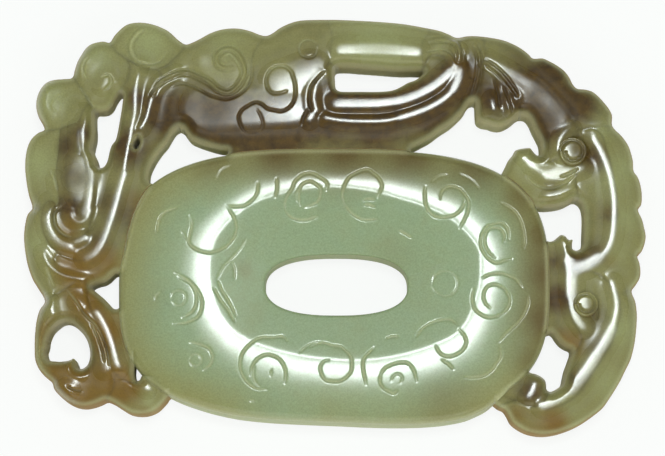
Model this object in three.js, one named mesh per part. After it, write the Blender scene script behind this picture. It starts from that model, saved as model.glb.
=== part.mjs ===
// Jade bi pendant: an oval disc with an oval hole, held on three sides by a coiled openwork creature.
// The carving lies on its back, face up: X runs along its length, Y across it, Z through its thickness.
// All lengths are in millimetres. The origin is on the back face, at the middle of the outline.
import * as THREE from 'three';

// The disc, called the bi
const ringLength = 48.4;
const ringHeight = 30.3;
const ringCrest = 7.2;
const ringWall = 4.2;
const ringFullness = 3.1;
const flankFullness = 2;
const flankStart = 140;
const flankEnd = 168;
const holeLength = 16;
const holeHeight = 7.1;
const holeShiftAlong = 0.28;
const holeFullness = 2.5;

// How far the creature stands out beyond the disc on each side
const leftBorder = 10.6;
const rightBorder = 11;
const topBorder = 14.6;
const bottomBorder = 1.6;

// The creature: the height of its crests, the height of the edge where its rounding starts,
// and the width of that rounding
const highCrest = 7.5;
const middleCrest = 7;
const lowCrest = 6.4;
const edgeHeight = 4.4;
const broadRounding = 2.4;
const slimRounding = 1.3;

// The back edges are eased by this height over this width
const backEase = 0.5;
const backEaseWidth = 0.6;

// The cut between two carved forms, and the two small spirals
const seam = 0.3;
const limbSpiralRadius = 1.6;
const tailSpiralRadius = 1.4;
const spiralWall = 5.4;

// Spacing of the surface points on the creature, and the counts round the disc and the spirals
const facetSpacing = 1.05;
const fineFacetSpacing = 0.8;
const ringSteps = 66;
const spiralSteps = 20;
const stepsPerOutlinePoint = 3;
const leastDepthShare = 0.07;

// Places in the photograph, in its pixels: the edges of the whole carving and of the disc
const photoPixels = {
  left: 26.5, ringLeft: 121, ringRight: 548, right: 644.5,
  top: 20.5, ringTop: 149.5, ringBottom: 417, bottom: 430.5,
};

const totalLength = leftBorder + ringLength + rightBorder;
const totalHeight = topBorder + ringHeight + bottomBorder;
const ringCentre = new THREE.Vector2(
  leftBorder + ringLength / 2 - totalLength / 2,
  bottomBorder + ringHeight / 2 - totalHeight / 2,
);

// A share of the way from one value to another
function between(value, low, high, start, width) {
  return start + (value - low) / (high - low) * width;
}

// Turns a place in the photograph into a place on the carving
function place([px, py]) {
  const fromLeft = px < photoPixels.ringLeft
    ? between(px, photoPixels.left, photoPixels.ringLeft, 0, leftBorder)
    : px < photoPixels.ringRight
      ? between(px, photoPixels.ringLeft, photoPixels.ringRight, leftBorder, ringLength)
      : between(px, photoPixels.ringRight, photoPixels.right, leftBorder + ringLength, rightBorder);
  const fromTop = py < photoPixels.ringTop
    ? between(py, photoPixels.top, photoPixels.ringTop, 0, topBorder)
    : py < photoPixels.ringBottom
      ? between(py, photoPixels.ringTop, photoPixels.ringBottom, topBorder, ringHeight)
      : between(py, photoPixels.ringBottom, photoPixels.bottom, topBorder + ringHeight, bottomBorder);
  return new THREE.Vector2(fromLeft - totalLength / 2, totalHeight / 2 - fromTop);
}

// A smooth closed outline through points picked in the photograph
function smoothOutline(pixels) {
  const knots = pixels.map(place).map((point) => new THREE.Vector3(point.x, point.y, 0));
  const curve = new THREE.CatmullRomCurve3(knots, true, 'centripetal');
  const points = curve.getPoints(knots.length * stepsPerOutlinePoint).slice(0, -1);
  return points.map((point) => new THREE.Vector2(point.x, point.y));
}

function circleOutline(centre, radius) {
  const points = new THREE.EllipseCurve(centre.x, centre.y, radius, radius).getPoints(spiralSteps * 2);
  return points.slice(0, -1);
}

// A rounded oblong: fullness 2 gives an ellipse, a larger one squarer ends
function fullOval(centre, length, height, fullness, angle) {
  const across = Math.cos(angle);
  const up = Math.sin(angle);
  const reach = (Math.abs(across) ** fullness + Math.abs(up) ** fullness) ** (-1 / fullness);
  return new THREE.Vector2(centre.x + across * reach * length / 2, centre.y + up * reach * height / 2);
}

// The outer edge of the disc, which eases inward on the flank where the neck limb leans on it
function discEdge(angle) {
  const turn = THREE.MathUtils.radToDeg(angle);
  const onFlank = turn > flankStart && turn < 180;
  const lean = onFlank ? Math.min((turn - flankStart) / (flankEnd - flankStart), 1) : 0;
  const fullness = ringFullness + (flankFullness - ringFullness) * lean;
  return fullOval(ringCentre, ringLength, ringHeight, fullness, angle);
}

function discOutline() {
  const points = [];
  for (let step = 0; step < ringSteps; step += 1) {
    points.push(discEdge(step / ringSteps * Math.PI * 2));
  }
  return points;
}

// The outer edge of the whole carving, clockwise from the notch beside the top curl.
// Under the disc, which has its own outline, it only has to stay inside.
const edgePixels = [
  [187, 45], [180, 41], [170, 32], [160, 27], [150, 24], [140, 23], [130, 24.5], [124, 28], [116, 36],
  [111, 43], [105, 42], [98, 43], [92, 45], [87, 49], [83, 55], [79, 62], [76, 71], [74.5, 77],
  [72, 79], [65, 79.5], [55, 80.5], [48, 83], [43, 88], [39, 96], [37.5, 106], [40, 117], [45, 126],
  [46, 130], [40, 133], [34, 138], [30, 145], [27.5, 156], [27, 168], [28.5, 182], [31, 195], [34.5, 208],
  [30, 214], [27.5, 224], [26.5, 237], [28, 252], [31, 266], [36, 279], [41, 287], [48, 300],
  [43, 308], [40, 318], [38.5, 330], [38, 345], [39, 358], [43, 367], [49, 374], [56, 380],
  [58, 386], [63, 392], [70, 398], [79, 402.5], [88, 404], [97, 402.5], [104, 400], [110, 397.5],
  [117, 400], [125, 405], [134, 410], [144, 411.5], [152, 410.5], [160, 407], [165, 402.5], [169, 398],
  [172, 394], [200, 385], [330, 390], [470, 385], [497, 404], [503, 407], [507, 413], [510, 418.5],
  [517, 424], [527, 428.5], [540, 430.5], [552, 429.5], [565, 426], [577, 421], [590, 413], [600, 405],
  [606, 397], [612, 388], [618, 378], [623, 368], [628, 358], [631, 348], [633, 338], [634.5, 325],
  [635, 312], [633.5, 300], [630, 290], [634, 284], [638, 277], [639, 270], [638, 262], [636, 255],
  [640, 251], [643, 244], [644.5, 236], [643, 227], [641, 219], [637, 209], [640, 205], [641, 195],
  [639.5, 184], [637, 177], [633, 171], [632.5, 162], [630.5, 153], [627.5, 145], [622, 137],
  [612, 126], [612, 116], [609, 109.5], [604, 103], [598, 96.5], [592, 92], [585, 90], [577, 89],
  [573, 85], [569.5, 78], [565, 72], [558, 66.5], [550, 62], [543, 59], [533, 59], [529, 55],
  [522, 49.5], [514, 45], [504, 41], [492, 38.5], [479, 37], [468, 37], [457, 38.5], [449, 35],
  [440, 31.5], [425, 28.5], [405, 25], [385, 23], [360, 21.5], [335, 20.5], [312, 20.5], [299, 21.5],
  [289, 24.5], [280, 29], [273, 34], [267, 36.5], [261, 35.5], [252, 32], [242, 29.5], [232, 29],
  [221, 30.5], [211, 34], [202, 39], [194, 43],
];

// The spaces pierced right through the creature
const piercedPixels = {
  leafWindow: [
    [97, 111], [103, 110.5], [109, 109], [113, 105], [116, 99], [118.5, 95], [121, 92.5], [124, 94],
    [123.5, 102], [122, 113], [120.5, 122], [118.5, 133], [116.5, 140], [113, 144.5], [111, 150],
    [109.5, 157], [108, 162], [105, 166.5], [102, 167.5], [99.5, 165.5], [98.5, 161], [96.5, 155],
    [94, 150], [94.5, 145], [96, 138], [96.5, 130], [96, 122],
  ],
  neckWindow: [
    [150, 176], [151, 170], [154, 163], [158, 156], [163, 149], [168, 143], [172, 136], [176, 130],
    [180, 127.5], [184, 129], [188, 134.5], [192, 139], [198, 142], [206, 145], [214, 147.5],
    [222, 149.5], [229, 150.5], [221, 160], [192, 170], [172, 176], [157, 184], [150.5, 181],
  ],
  footGap: [
    [94, 287], [100, 283.5], [106, 282], [111, 279], [115, 275], [118, 273], [122, 274], [124, 290],
    [122, 306], [119, 308.5], [116, 308], [111, 303], [106, 298], [100, 293],
  ],
  heartWindow: [
    [49, 352], [50.5, 346], [51.5, 339], [55, 331], [59.5, 326], [64, 322.5], [69, 321.5], [75, 323.5],
    [81, 328.5], [86, 334], [90, 341], [92, 348], [92.5, 355], [91, 362], [88, 366], [84, 368],
    [81, 367], [79, 362], [76, 357.5], [73, 359], [66, 360.5], [58, 360.5], [51, 359],
  ],
  toeWindow: [
    [137, 366], [138, 360], [140, 357], [143, 360], [147, 364], [151, 368], [148, 373], [144, 375],
    [142, 379], [139, 379.5], [137, 375],
  ],
  barSlot: [
    [336, 68], [345, 66.5], [360, 67.5], [380, 69], [400, 70.5], [415, 70.5], [424, 71.5], [416, 79],
    [408, 82], [402, 85.5], [396, 88.5], [391, 90], [380, 91], [360, 91], [345, 91], [340, 90.5],
    [336.5, 88], [335.5, 80],
  ],
  pawWindow: [
    [411, 150], [420, 144], [430, 138.5], [440, 131], [450, 124.5], [458, 117.5], [464, 111], [468, 104],
    [471, 101.5], [475, 101.5], [476, 112], [477, 119], [481, 122.5], [488, 124], [494, 126],
    [500, 126.5], [507, 124], [513, 120], [517, 116.5], [521, 115], [526, 116], [530, 121], [533, 128],
    [537, 136], [540, 143], [539.5, 154], [536.5, 154.5], [533, 151], [530, 147.5], [525, 147.5],
    [519, 148.5], [515, 150], [512, 155], [508, 160], [505, 166], [502, 172], [499, 176], [490, 182],
    [466, 172], [436, 162],
  ],
  limbWindow: [
    [536, 208], [545, 207.5], [555, 206.5], [563, 204.5], [569, 201.5], [573, 199.5], [577, 200],
    [581, 204], [583, 212], [583, 225], [582.5, 235], [582, 244], [579, 248.5], [575, 250],
    [571.5, 248.5], [571, 244], [571.5, 239], [568, 239.5], [564, 235.5], [560, 234.5], [556, 237.5],
    [552, 240.5], [548, 241], [543, 238], [540, 230], [536, 220],
  ],
  tailWindow: [
    [549, 332], [552, 333.5], [555, 338], [559, 343], [564, 346.5], [569.5, 349.5], [567, 360],
    [564, 368], [562, 376], [560, 383.5], [556, 387], [552, 389.5], [548, 390.5], [545, 388.5],
    [544.5, 384], [543.5, 379.5], [540, 376], [534, 373], [528, 371], [530, 362], [536, 348], [542, 337],
  ],
};

const limbSpiralCentre = place([571, 153]);
const tailSpiralCentre = place([583, 305]);

// The carved forms of the creature, the ones on top first. Each is cut where a form above it lies.
// Where a form meets the outer edge, a pierced space or the disc, its outline runs past that edge.
const forms = [
  { name: 'tail_tip', crest: middleCrest, rounding: slimRounding, skin: 'russet', pixels: [
    [531, 368], [540, 374], [546, 382], [546, 392], [543, 400], [536, 406], [526, 405], [514, 400],
    [500, 392], [508, 378], [520, 368],
  ] },
  { name: 'fan_tuft', crest: highCrest, rounding: slimRounding, skin: 'russet', pixels: [
    [481, 64], [487, 63], [497, 71], [506, 82], [512, 92], [518, 101], [520, 112], [512, 128],
    [500, 134], [484, 134], [474, 126], [475, 104], [479, 88],
  ] },
  { name: 'fore_limb', crest: highCrest, rounding: broadRounding, skin: 'russet', pixels: [
    [508, 74], [518, 72], [530, 77], [540, 85], [552, 97], [562, 110], [570, 120], [575, 128],
    [566, 134], [558, 145], [556, 158], [549, 163], [541, 166], [539, 158], [534, 142], [524, 130],
    [516, 116], [505, 90], [504, 80],
  ] },
  { name: 'claw_strip', crest: lowCrest, rounding: slimRounding, skin: 'russet', pixels: [
    [538, 230], [552, 232], [558, 229], [567, 229], [575, 236], [572, 246], [563, 248], [565, 262],
    [567, 280], [567, 300], [568, 316], [573, 326], [579, 336], [577, 346], [570, 354], [556, 350],
    [538, 340], [530, 290],
  ] },
  { name: 'inner_limb', crest: highCrest, rounding: broadRounding, fine: true, skin: 'russet', pixels: [
    [576, 133], [590, 129], [600, 136], [605, 150], [609, 164], [611, 178], [614, 192], [615, 206],
    [614, 222], [612, 236], [607, 248], [600, 258], [590, 267], [580, 270], [570, 267], [565, 258],
    [560, 244],
    [566, 236], [576, 230], [577, 200], [575, 190], [574, 180], [576, 172], [586, 155],
  ] },
  { name: 'paw', crest: middleCrest, rounding: broadRounding, skin: 'olive', pixels: [
    [494, 176], [502, 160], [509, 148], [517, 142], [531, 142], [539, 158], [548, 164], [558, 160],
    [566, 168], [574, 174], [588, 178], [588, 190], [580, 206], [560, 214], [530, 214], [512, 195],
  ] },
  { name: 'tail_scroll', crest: highCrest, rounding: broadRounding, skin: 'olive', pixels: [
    [566, 286], [572, 277], [585, 272], [599, 277], [610, 288], [616, 302], [617, 316], [613, 330],
    [608, 344], [600, 357], [592, 369], [584, 381], [576, 393], [564, 402], [549, 408], [538, 406],
    [540, 388], [548, 378], [560, 366], [562, 346], [568, 334], [567, 314],
  ] },
  { name: 'tail_curl', crest: middleCrest, rounding: broadRounding, skin: 'olive', pixels: [
    [650, 284], [632, 288], [618, 296], [600, 310], [560, 380], [535, 392], [520, 396], [509, 408],
    [506, 440], [560, 450], [630, 410], [660, 330],
  ] },
  { name: 'spine_lower', crest: middleCrest, rounding: broadRounding, skin: 'olive', pixels: [
    [590, 131], [612, 126], [650, 112], [665, 200], [660, 280], [630, 289], [612, 296],
    [598, 290], [588, 278], [588, 262], [598, 250], [600, 220], [598, 170], [592, 145],
  ] },
  { name: 'collar', crest: middleCrest, rounding: slimRounding, skin: 'russet', pixels: [
    [458, 28], [470, 28], [481, 32], [484, 44], [485, 58], [484, 70], [481, 78], [474, 81], [468, 76],
    [466, 62], [461, 50],
  ] },
  { name: 'spine_upper', crest: highCrest, rounding: broadRounding, skin: 'russet', pixels: [
    [486, 24], [484, 36], [484, 50], [488, 64], [502, 76], [525, 92], [550, 118], [574, 128],
    [590, 131], [612, 126], [650, 112], [610, 40], [540, 20],
  ] },
  { name: 'band_upper', crest: highCrest, rounding: slimRounding, skin: 'russet', pixels: [
    [325, 72], [331, 64], [345, 78], [380, 80], [408, 76], [424, 68], [427, 60], [434, 56], [441, 57],
    [447, 64], [450, 73], [447, 84], [438, 96], [425, 105], [408, 112], [390, 115.5],
    [360, 117], [335, 117], [314, 115], [309, 106], [310, 94], [316, 81],
  ] },
  { name: 'band_lower', crest: middleCrest, rounding: broadRounding, fine: true, skin: 'russet', pixels: [
    [311, 113], [304, 122], [301, 134], [300, 160], [360, 160], [411, 158], [450, 136], [468, 120],
    [476, 102], [482, 84], [480, 68], [468, 60], [460, 46], [458, 20], [434, 18], [428, 34],
    [421, 47], [422, 60], [420, 90], [370, 105],
  ] },
  { name: 'top_bar', crest: highCrest, rounding: broadRounding, skin: 'olive', pixels: [
    [330, 10], [333, 40], [331, 70], [345, 80], [424, 80], [428, 60], [434, 36], [438, 16], [400, 8],
  ] },
  { name: 'neck_curl', crest: highCrest, rounding: broadRounding, skin: 'olive', pixels: [
    [176, 75], [190, 73], [203, 79], [213, 88], [222, 95.5], [231, 97.5],
    [241, 94.5], [248, 88], [251, 79], [252, 66], [256, 50], [266, 34], [262, 15], [187, 15],
    [186, 46], [178, 57], [170, 65],
  ] },
  { name: 'curl_lobe_top', crest: middleCrest, rounding: broadRounding, skin: 'pale', pixels: [
    [111, 43], [106, 20], [150, 5], [194, 20], [187, 46], [179, 56], [170, 65], [158, 70], [146, 69],
    [137, 65], [128, 59], [118, 52],
  ] },
  { name: 'curl_lobe_mid', crest: middleCrest, rounding: broadRounding, skin: 'pale', pixels: [
    [74, 77], [60, 60], [85, 30], [108, 35], [112, 43], [119, 52], [128, 60], [131, 68], [129, 80],
    [122, 92], [112, 114], [98, 116], [94, 108], [87, 96], [80, 86],
  ] },
  { name: 'long_tendril', crest: highCrest, rounding: slimRounding, fine: true, skin: 'russet', pixels: [
    [122, 56], [137, 62], [148, 68], [158, 70], [163, 77], [157, 88], [151, 98], [150, 106], [147, 116],
    [144, 126], [140, 136], [134, 146], [131, 158], [127, 178], [122, 192], [117, 206], [112, 222],
    [107, 238], [102, 250], [94, 258], [82, 262], [66, 257], [54, 248], [47, 236], [44, 222], [46, 208],
    [51, 202], [58, 205], [55, 216], [58, 228], [65, 237], [76, 241], [86, 238], [92, 228], [95, 214],
    [97, 198], [96, 186], [91, 175], [85, 162], [81, 150], [80, 138], [81, 124], [85, 112], [92, 104],
    [106, 108], [118, 94],
  ] },
  { name: 'curl_lobe_left', crest: middleCrest, rounding: broadRounding, skin: 'pale', pixels: [
    [74, 74], [82, 84], [92, 100], [90, 111], [83, 118], [72, 125], [59, 130], [46, 131], [24, 130],
    [24, 80], [56, 66],
  ] },
  { name: 'mane_lock_upper', crest: middleCrest, rounding: broadRounding, skin: 'pale', pixels: [
    [46, 128], [60, 126], [61, 140], [60, 155], [58, 172], [60, 190], [60, 206], [46, 210], [34, 208],
    [14, 200], [14, 140],
  ] },
  { name: 'inner_leaf', crest: highCrest, rounding: broadRounding, fine: true, skin: 'russet', pixels: [
    [56, 134], [64, 129], [76, 126], [88, 130], [92, 160], [100, 184], [96, 220], [84, 240], [66, 240],
    [54, 224], [56, 204], [58, 172], [58, 140],
  ] },
  { name: 'neck_limb', crest: middleCrest, rounding: broadRounding, skin: 'russet', pixels: [
    [138, 132], [150, 124], [164, 126], [178, 126], [188, 134], [170, 160], [152, 190], [165, 210],
    [165, 290], [118, 292], [94, 289], [87, 283], [75, 279], [66, 275], [58, 268], [58, 258],
    [70, 250], [90, 250], [104, 230], [116, 190], [126, 150],
  ] },
  { name: 'mane_lock_lower', crest: middleCrest, rounding: broadRounding, skin: 'olive', pixels: [
    [30, 206], [48, 206], [56, 230], [62, 255], [75, 276], [79, 281], [70, 288], [60, 294], [48, 300],
    [24, 304], [8, 260], [12, 212],
  ] },
  { name: 'shoulder', crest: highCrest, rounding: broadRounding, skin: 'russet', pixels: [
    [150, 60], [180, 50], [230, 40], [266, 10], [331, 10], [334, 40], [332, 66], [330, 120], [316, 160],
    [230, 160], [186, 140], [172, 129], [158, 127], [149, 118], [144, 105], [140, 90],
  ] },
  { name: 'foot_leaf', crest: highCrest, rounding: slimRounding, skin: 'russet', pixels: [
    [92, 286], [91, 300], [97, 316], [103, 328], [108, 340], [111, 352], [114, 366], [121, 376],
    [130, 381], [140, 382], [140, 368], [152, 366], [170, 372], [165, 300], [121, 284],
  ] },
  { name: 'foot_loop', crest: highCrest, rounding: slimRounding, fine: true, skin: 'russet', pixels: [
    [48, 300], [60, 294], [70, 288], [79, 281], [94, 284], [104, 316], [116, 350], [118, 378],
    [116, 390], [110, 398], [112, 424], [50, 424], [16, 370], [20, 304],
  ] },
  { name: 'toe_lobe', crest: middleCrest, rounding: broadRounding, skin: 'olive', pixels: [
    [110, 398], [112, 376], [130, 374], [140, 368], [152, 366], [165, 375], [184, 395], [178, 430],
    [112, 430],
  ] },
];

// How far a point lies inside a closed outline; negative outside it
function depthInside(outline, x, y) {
  let nearest = Infinity;
  let inside = false;
  let from = outline[outline.length - 1];
  for (const to of outline) {
    const alongX = to.x - from.x;
    const alongY = to.y - from.y;
    const spanSquared = alongX * alongX + alongY * alongY;
    const share = ((x - from.x) * alongX + (y - from.y) * alongY) / spanSquared;
    const held = Math.min(Math.max(share, 0), 1);
    nearest = Math.min(nearest, Math.hypot(x - from.x - held * alongX, y - from.y - held * alongY));
    if (from.y > y !== to.y > y && x < from.x + (y - from.y) / alongY * alongX) {
      inside = !inside;
    }
    from = to;
  }
  return inside ? nearest : -nearest;
}

const edgeOutline = smoothOutline(edgePixels);
const pierced = Object.values(piercedPixels).map(smoothOutline);
const ringOutline = discOutline();
const limbSpiralOutline = circleOutline(limbSpiralCentre, limbSpiralRadius);
const tailSpiralOutline = circleOutline(tailSpiralCentre, tailSpiralRadius);
const alwaysAbove = [ringOutline, limbSpiralOutline, tailSpiralOutline];

// How far a point lies inside a form, once the edge, the windows and the forms above have cut it
function formDepth(outline, above, x, y) {
  let depth = depthInside(outline, x, y);
  depth = Math.min(depth, depthInside(edgeOutline, x, y));
  for (const opening of pierced) {
    depth = Math.min(depth, -depthInside(opening, x, y));
  }
  for (const upper of above) {
    depth = Math.min(depth, -depthInside(upper, x, y) - seam);
  }
  return depth;
}

// A quarter-round rise from 0 at the edge to 1 at the full width of the rounding
function rounded(depth, width) {
  const share = Math.min(depth / width, 1);
  return Math.sqrt(1 - (1 - share) ** 2);
}

// One carved form: a lattice of points trimmed to its outline, domed on the face and flat on the back
function carvedForm(form, outline, above) {
  const spacing = form.fine ? fineFacetSpacing : facetSpacing;
  const leastDepth = spacing * leastDepthShare;
  const reach = new THREE.Box2().setFromPoints(outline).expandByScalar(spacing);
  const columns = Math.ceil((reach.max.x - reach.min.x) / spacing);
  const rows = Math.ceil((reach.max.y - reach.min.y) / spacing);
  const lattice = [];
  for (let row = 0; row <= rows; row += 1) {
    for (let column = 0; column <= columns; column += 1) {
      const x = reach.min.x + column * spacing;
      const y = reach.min.y + row * spacing;
      const depth = formDepth(outline, above, x, y);
      lattice.push({ x, y, depth: depth < leastDepth ? Math.min(depth, -leastDepth) : depth });
    }
  }

  const points = [];
  const kept = new Map();
  function pointNumber(key, x, y, depth) {
    if (!kept.has(key)) {
      kept.set(key, points.length);
      points.push({ x, y, depth });
    }
    return kept.get(key);
  }
  function latticePoint(index) {
    const corner = lattice[index];
    return pointNumber(`${index}`, corner.x, corner.y, corner.depth);
  }
  function edgePoint(first, second) {
    const [low, high] = first < second ? [first, second] : [second, first];
    const a = lattice[low];
    const b = lattice[high];
    const share = a.depth / (a.depth - b.depth);
    return pointNumber(`${low},${high}`, a.x + (b.x - a.x) * share, a.y + (b.y - a.y) * share, 0);
  }

  const facets = [];
  function trim(corners) {
    const shape = [];
    for (let side = 0; side < corners.length; side += 1) {
      const here = corners[side];
      const next = corners[(side + 1) % corners.length];
      if (lattice[here].depth > 0) {
        shape.push(latticePoint(here));
      }
      if (lattice[here].depth > 0 !== lattice[next].depth > 0) {
        shape.push(edgePoint(here, next));
      }
    }
    for (let corner = 2; corner < shape.length; corner += 1) {
      facets.push([shape[0], shape[corner - 1], shape[corner]]);
    }
  }
  for (let row = 0; row < rows; row += 1) {
    for (let column = 0; column < columns; column += 1) {
      const start = row * (columns + 1) + column;
      const over = start + columns + 1;
      if ((row + column) % 2) {
        trim([start, start + 1, over]);
        trim([start + 1, over + 1, over]);
      } else {
        trim([start, start + 1, over + 1]);
        trim([start, over + 1, over]);
      }
    }
  }

  const places = [];
  for (const point of points) {
    const climb = rounded(point.depth, form.rounding);
    places.push(point.x, point.y, edgeHeight + (form.crest - edgeHeight) * climb);
  }
  for (const point of points) {
    places.push(point.x, point.y, backEase * (1 - Math.min(point.depth / backEaseWidth, 1)));
  }
  return closedShell(places, facets, points.length);
}

// Joins a face and the same face on the back with walls along every free edge
function closedShell(places, facets, backStart) {
  const triangles = [];
  const freeEdges = new Map();
  for (const [a, b, c] of facets) {
    triangles.push(a, b, c, backStart + a, backStart + c, backStart + b);
    for (const [from, to] of [[a, b], [b, c], [c, a]]) {
      if (!freeEdges.delete(`${to},${from}`)) {
        freeEdges.set(`${from},${to}`, [from, to]);
      }
    }
  }
  for (const [from, to] of freeEdges.values()) {
    triangles.push(from, backStart + from, backStart + to, from, backStart + to, to);
  }
  const geometry = new THREE.BufferGeometry();
  geometry.setAttribute('position', new THREE.Float32BufferAttribute(places, 3));
  geometry.setIndex(triangles);
  geometry.computeVertexNormals();
  return geometry;
}

// The disc: a face that climbs from the wall to a crest all the way round and sinks gently to the hole.
// Each pair gives the share of the way from the outer edge to the hole, and the share of the climb.
const discFaceShares = [
  [0, 0], [0.02, 0.3], [0.07, 0.52], [0.16, 0.74], [0.28, 0.92], [0.42, 1], [0.6, 0.94], [0.8, 0.82],
  [0.94, 0.74], [0.985, 0.64], [1, 0.5],
];
const discBackEaseShare = 0.04;

function biRing() {
  const face = discFaceShares.map(([across, climb]) => [across, ringWall + (ringCrest - ringWall) * climb]);
  const back = [[1, backEase], [1 - discBackEaseShare, 0], [discBackEaseShare, 0], [0, backEase]];
  const profile = [...face, ...back];
  const holeCentre = new THREE.Vector2(ringCentre.x + holeShiftAlong, ringCentre.y);
  const places = [];
  const triangles = [];
  for (let step = 0; step < ringSteps; step += 1) {
    const angle = step / ringSteps * Math.PI * 2;
    const outer = discEdge(angle);
    const inner = fullOval(holeCentre, holeLength, holeHeight, holeFullness, angle);
    for (const [across, height] of profile) {
      const point = outer.clone().lerp(inner, across);
      places.push(point.x, point.y, height);
    }
    const here = step * profile.length;
    const next = (step + 1) % ringSteps * profile.length;
    for (let row = 0; row < profile.length; row += 1) {
      const following = (row + 1) % profile.length;
      triangles.push(here + row, next + row, next + following);
      triangles.push(here + row, next + following, here + following);
    }
  }
  const geometry = new THREE.BufferGeometry();
  geometry.setAttribute('position', new THREE.Float32BufferAttribute(places, 3));
  geometry.setIndex(triangles);
  geometry.computeVertexNormals();
  return geometry;
}

// A small turned knob: a straight wall under a round cap
const capShares = [[1, 0], [0.96, 0.4], [0.82, 0.72], [0.55, 0.92], [0, 1]];

function spiralKnob(radius) {
  const profile = [new THREE.Vector2(0, 0), new THREE.Vector2(radius, 0)];
  for (const [across, climb] of capShares) {
    profile.push(new THREE.Vector2(radius * across, spiralWall + (highCrest - spiralWall) * climb));
  }
  return new THREE.LatheGeometry(profile, spiralSteps).rotateX(Math.PI / 2);
}

// The colours of the stone: clear celadon in the disc, pale and deep olive, and the russet skin
const stone = {
  celadon: { color: '#8fa07a', roughness: 0.25, metalness: 0 },
  pale: { color: '#8a9163', roughness: 0.3, metalness: 0 },
  olive: { color: '#7b7640', roughness: 0.3, metalness: 0 },
  russet: { color: '#5f4520', roughness: 0.3, metalness: 0 },
};

function stonePiece(name, geometry, skin) {
  const piece = new THREE.Mesh(geometry, new THREE.MeshStandardMaterial(stone[skin]));
  piece.name = name;
  return piece;
}

const carving = new THREE.Group();
carving.name = 'jade_bi_pendant';
carving.add(stonePiece('bi_ring', biRing(), 'celadon'));

const limbSpiral = stonePiece('limb_spiral', spiralKnob(limbSpiralRadius), 'russet');
limbSpiral.position.set(limbSpiralCentre.x, limbSpiralCentre.y, 0);
const tailSpiral = stonePiece('tail_spiral', spiralKnob(tailSpiralRadius), 'olive');
tailSpiral.position.set(tailSpiralCentre.x, tailSpiralCentre.y, 0);
carving.add(limbSpiral, tailSpiral);

const above = [...alwaysAbove];
for (const form of forms) {
  const outline = smoothOutline(form.pixels);
  carving.add(stonePiece(form.name, carvedForm(form, outline, above), form.skin));
  above.push(outline);
}

export default carving;
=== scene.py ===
import math

import bpy
import numpy as np
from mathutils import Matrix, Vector


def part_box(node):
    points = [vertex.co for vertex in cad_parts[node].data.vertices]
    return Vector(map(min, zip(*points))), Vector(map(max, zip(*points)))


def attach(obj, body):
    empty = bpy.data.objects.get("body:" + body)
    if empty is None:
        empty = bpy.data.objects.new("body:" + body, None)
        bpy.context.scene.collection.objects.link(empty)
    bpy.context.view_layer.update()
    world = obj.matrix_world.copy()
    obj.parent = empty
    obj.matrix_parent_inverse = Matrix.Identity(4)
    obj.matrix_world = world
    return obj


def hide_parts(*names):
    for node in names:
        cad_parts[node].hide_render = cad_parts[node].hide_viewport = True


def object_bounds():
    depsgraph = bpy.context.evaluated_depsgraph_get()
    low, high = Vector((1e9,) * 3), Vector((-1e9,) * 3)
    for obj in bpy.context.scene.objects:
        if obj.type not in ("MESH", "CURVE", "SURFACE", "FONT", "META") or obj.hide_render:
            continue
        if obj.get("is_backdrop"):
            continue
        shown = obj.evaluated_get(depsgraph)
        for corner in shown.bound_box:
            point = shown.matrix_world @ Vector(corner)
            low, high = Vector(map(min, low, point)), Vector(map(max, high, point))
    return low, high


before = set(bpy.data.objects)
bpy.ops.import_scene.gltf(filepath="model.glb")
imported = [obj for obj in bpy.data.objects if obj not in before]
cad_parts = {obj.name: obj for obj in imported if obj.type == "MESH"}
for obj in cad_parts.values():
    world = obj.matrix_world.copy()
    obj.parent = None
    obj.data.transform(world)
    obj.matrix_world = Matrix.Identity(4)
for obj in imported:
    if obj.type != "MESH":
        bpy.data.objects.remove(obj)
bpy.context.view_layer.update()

MILLIMETRE = 0.001
GRAIN = 0.06            # spacing of the finest surface points
LATTICE_MARGIN = 1.2    # the lattice goes this far beyond the CAD model
REACH = 4.2             # distances are followed this far from an outline
DISC_REACH = 12.5       # and on the disc, which is wider
BLOCK_SIZES = (8, 4, 2, 1)

# Heights of the stone above its flat back
HIGH_CREST = 7.45
MIDDLE_CREST = 7.0
EDGE_HEIGHT = 4.8
DISH_EDGE_HEIGHT = 7.0
RING_WALL = 5.0

# The disc's face
HOLLOW_SLOPE = 0.165        # how steeply it falls towards the hole
HOLLOW_SOFTNESS = 0.3
CREST_SLOPE = 0.088         # how steeply the face still climbs just outside the hollow
CREST_SLOPE_BELOW = 0.017   # and how much more it does on the lower side
CREST_TURN = 0.3            # how far it then turns down towards the rim
# over this length, at every 45 degrees from the right
TURN_LENGTHS = (3.4, 2.4, 1.4, 2.5, 5.0, 4.8, 4.0, 4.6)
DISC_EDGE_ROUNDING = 1.0
HOLE_ROUNDING = 0.3

# The creature's crests, rolls and troughs
CREST_REACH = 4.6
CROWN_SLOPE = 0.5
CROWN_LIMIT = 1.5
CROWN_SOFTNESS = 0.15
CROWN_SETTLING = 1.2        # away from a crest the stone is smoother
SETTLED_SOFTNESS = 0.6
PATCH_DOME = 0.02
CREST_KEEPS = 1.2           # this near a crest the stone doesn't roll down to its neighbours
DULL_FROM = 0.8             # and this far from one it is duller
DULL_OVER = 1.5
DULLEST = 2.0
SEAM_SOFTNESS = 0.15
LEVEL_SOFTNESS = 0.5
ROLL_SHARE = 0.5
EDGE_SHARE = 0.65           # how much of a form's rounding its free edge has
PINHOLE_SHARE = 0.75        # and how much less that is round the pinhole
PINHOLE_SPOT = [(137, 143, 15, 1.0)]
WINDOW_LIGHT_BAND = 1.0           # how far from a window its walls are painted paler, as painted bounce light
TROUGH_DEPTH = 0.09
TROUGH_WIDTH = 0.15
FULL_TROUGH_ROLL = 0.5      # a form with this roll or more is set off by a full trough
DISC_TROUGH_SHARE = 0.5
SPIRAL_DOME = 0.045
SPIRAL_ROLL = 0.35
SPIRAL_CUT = 0.3
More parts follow.
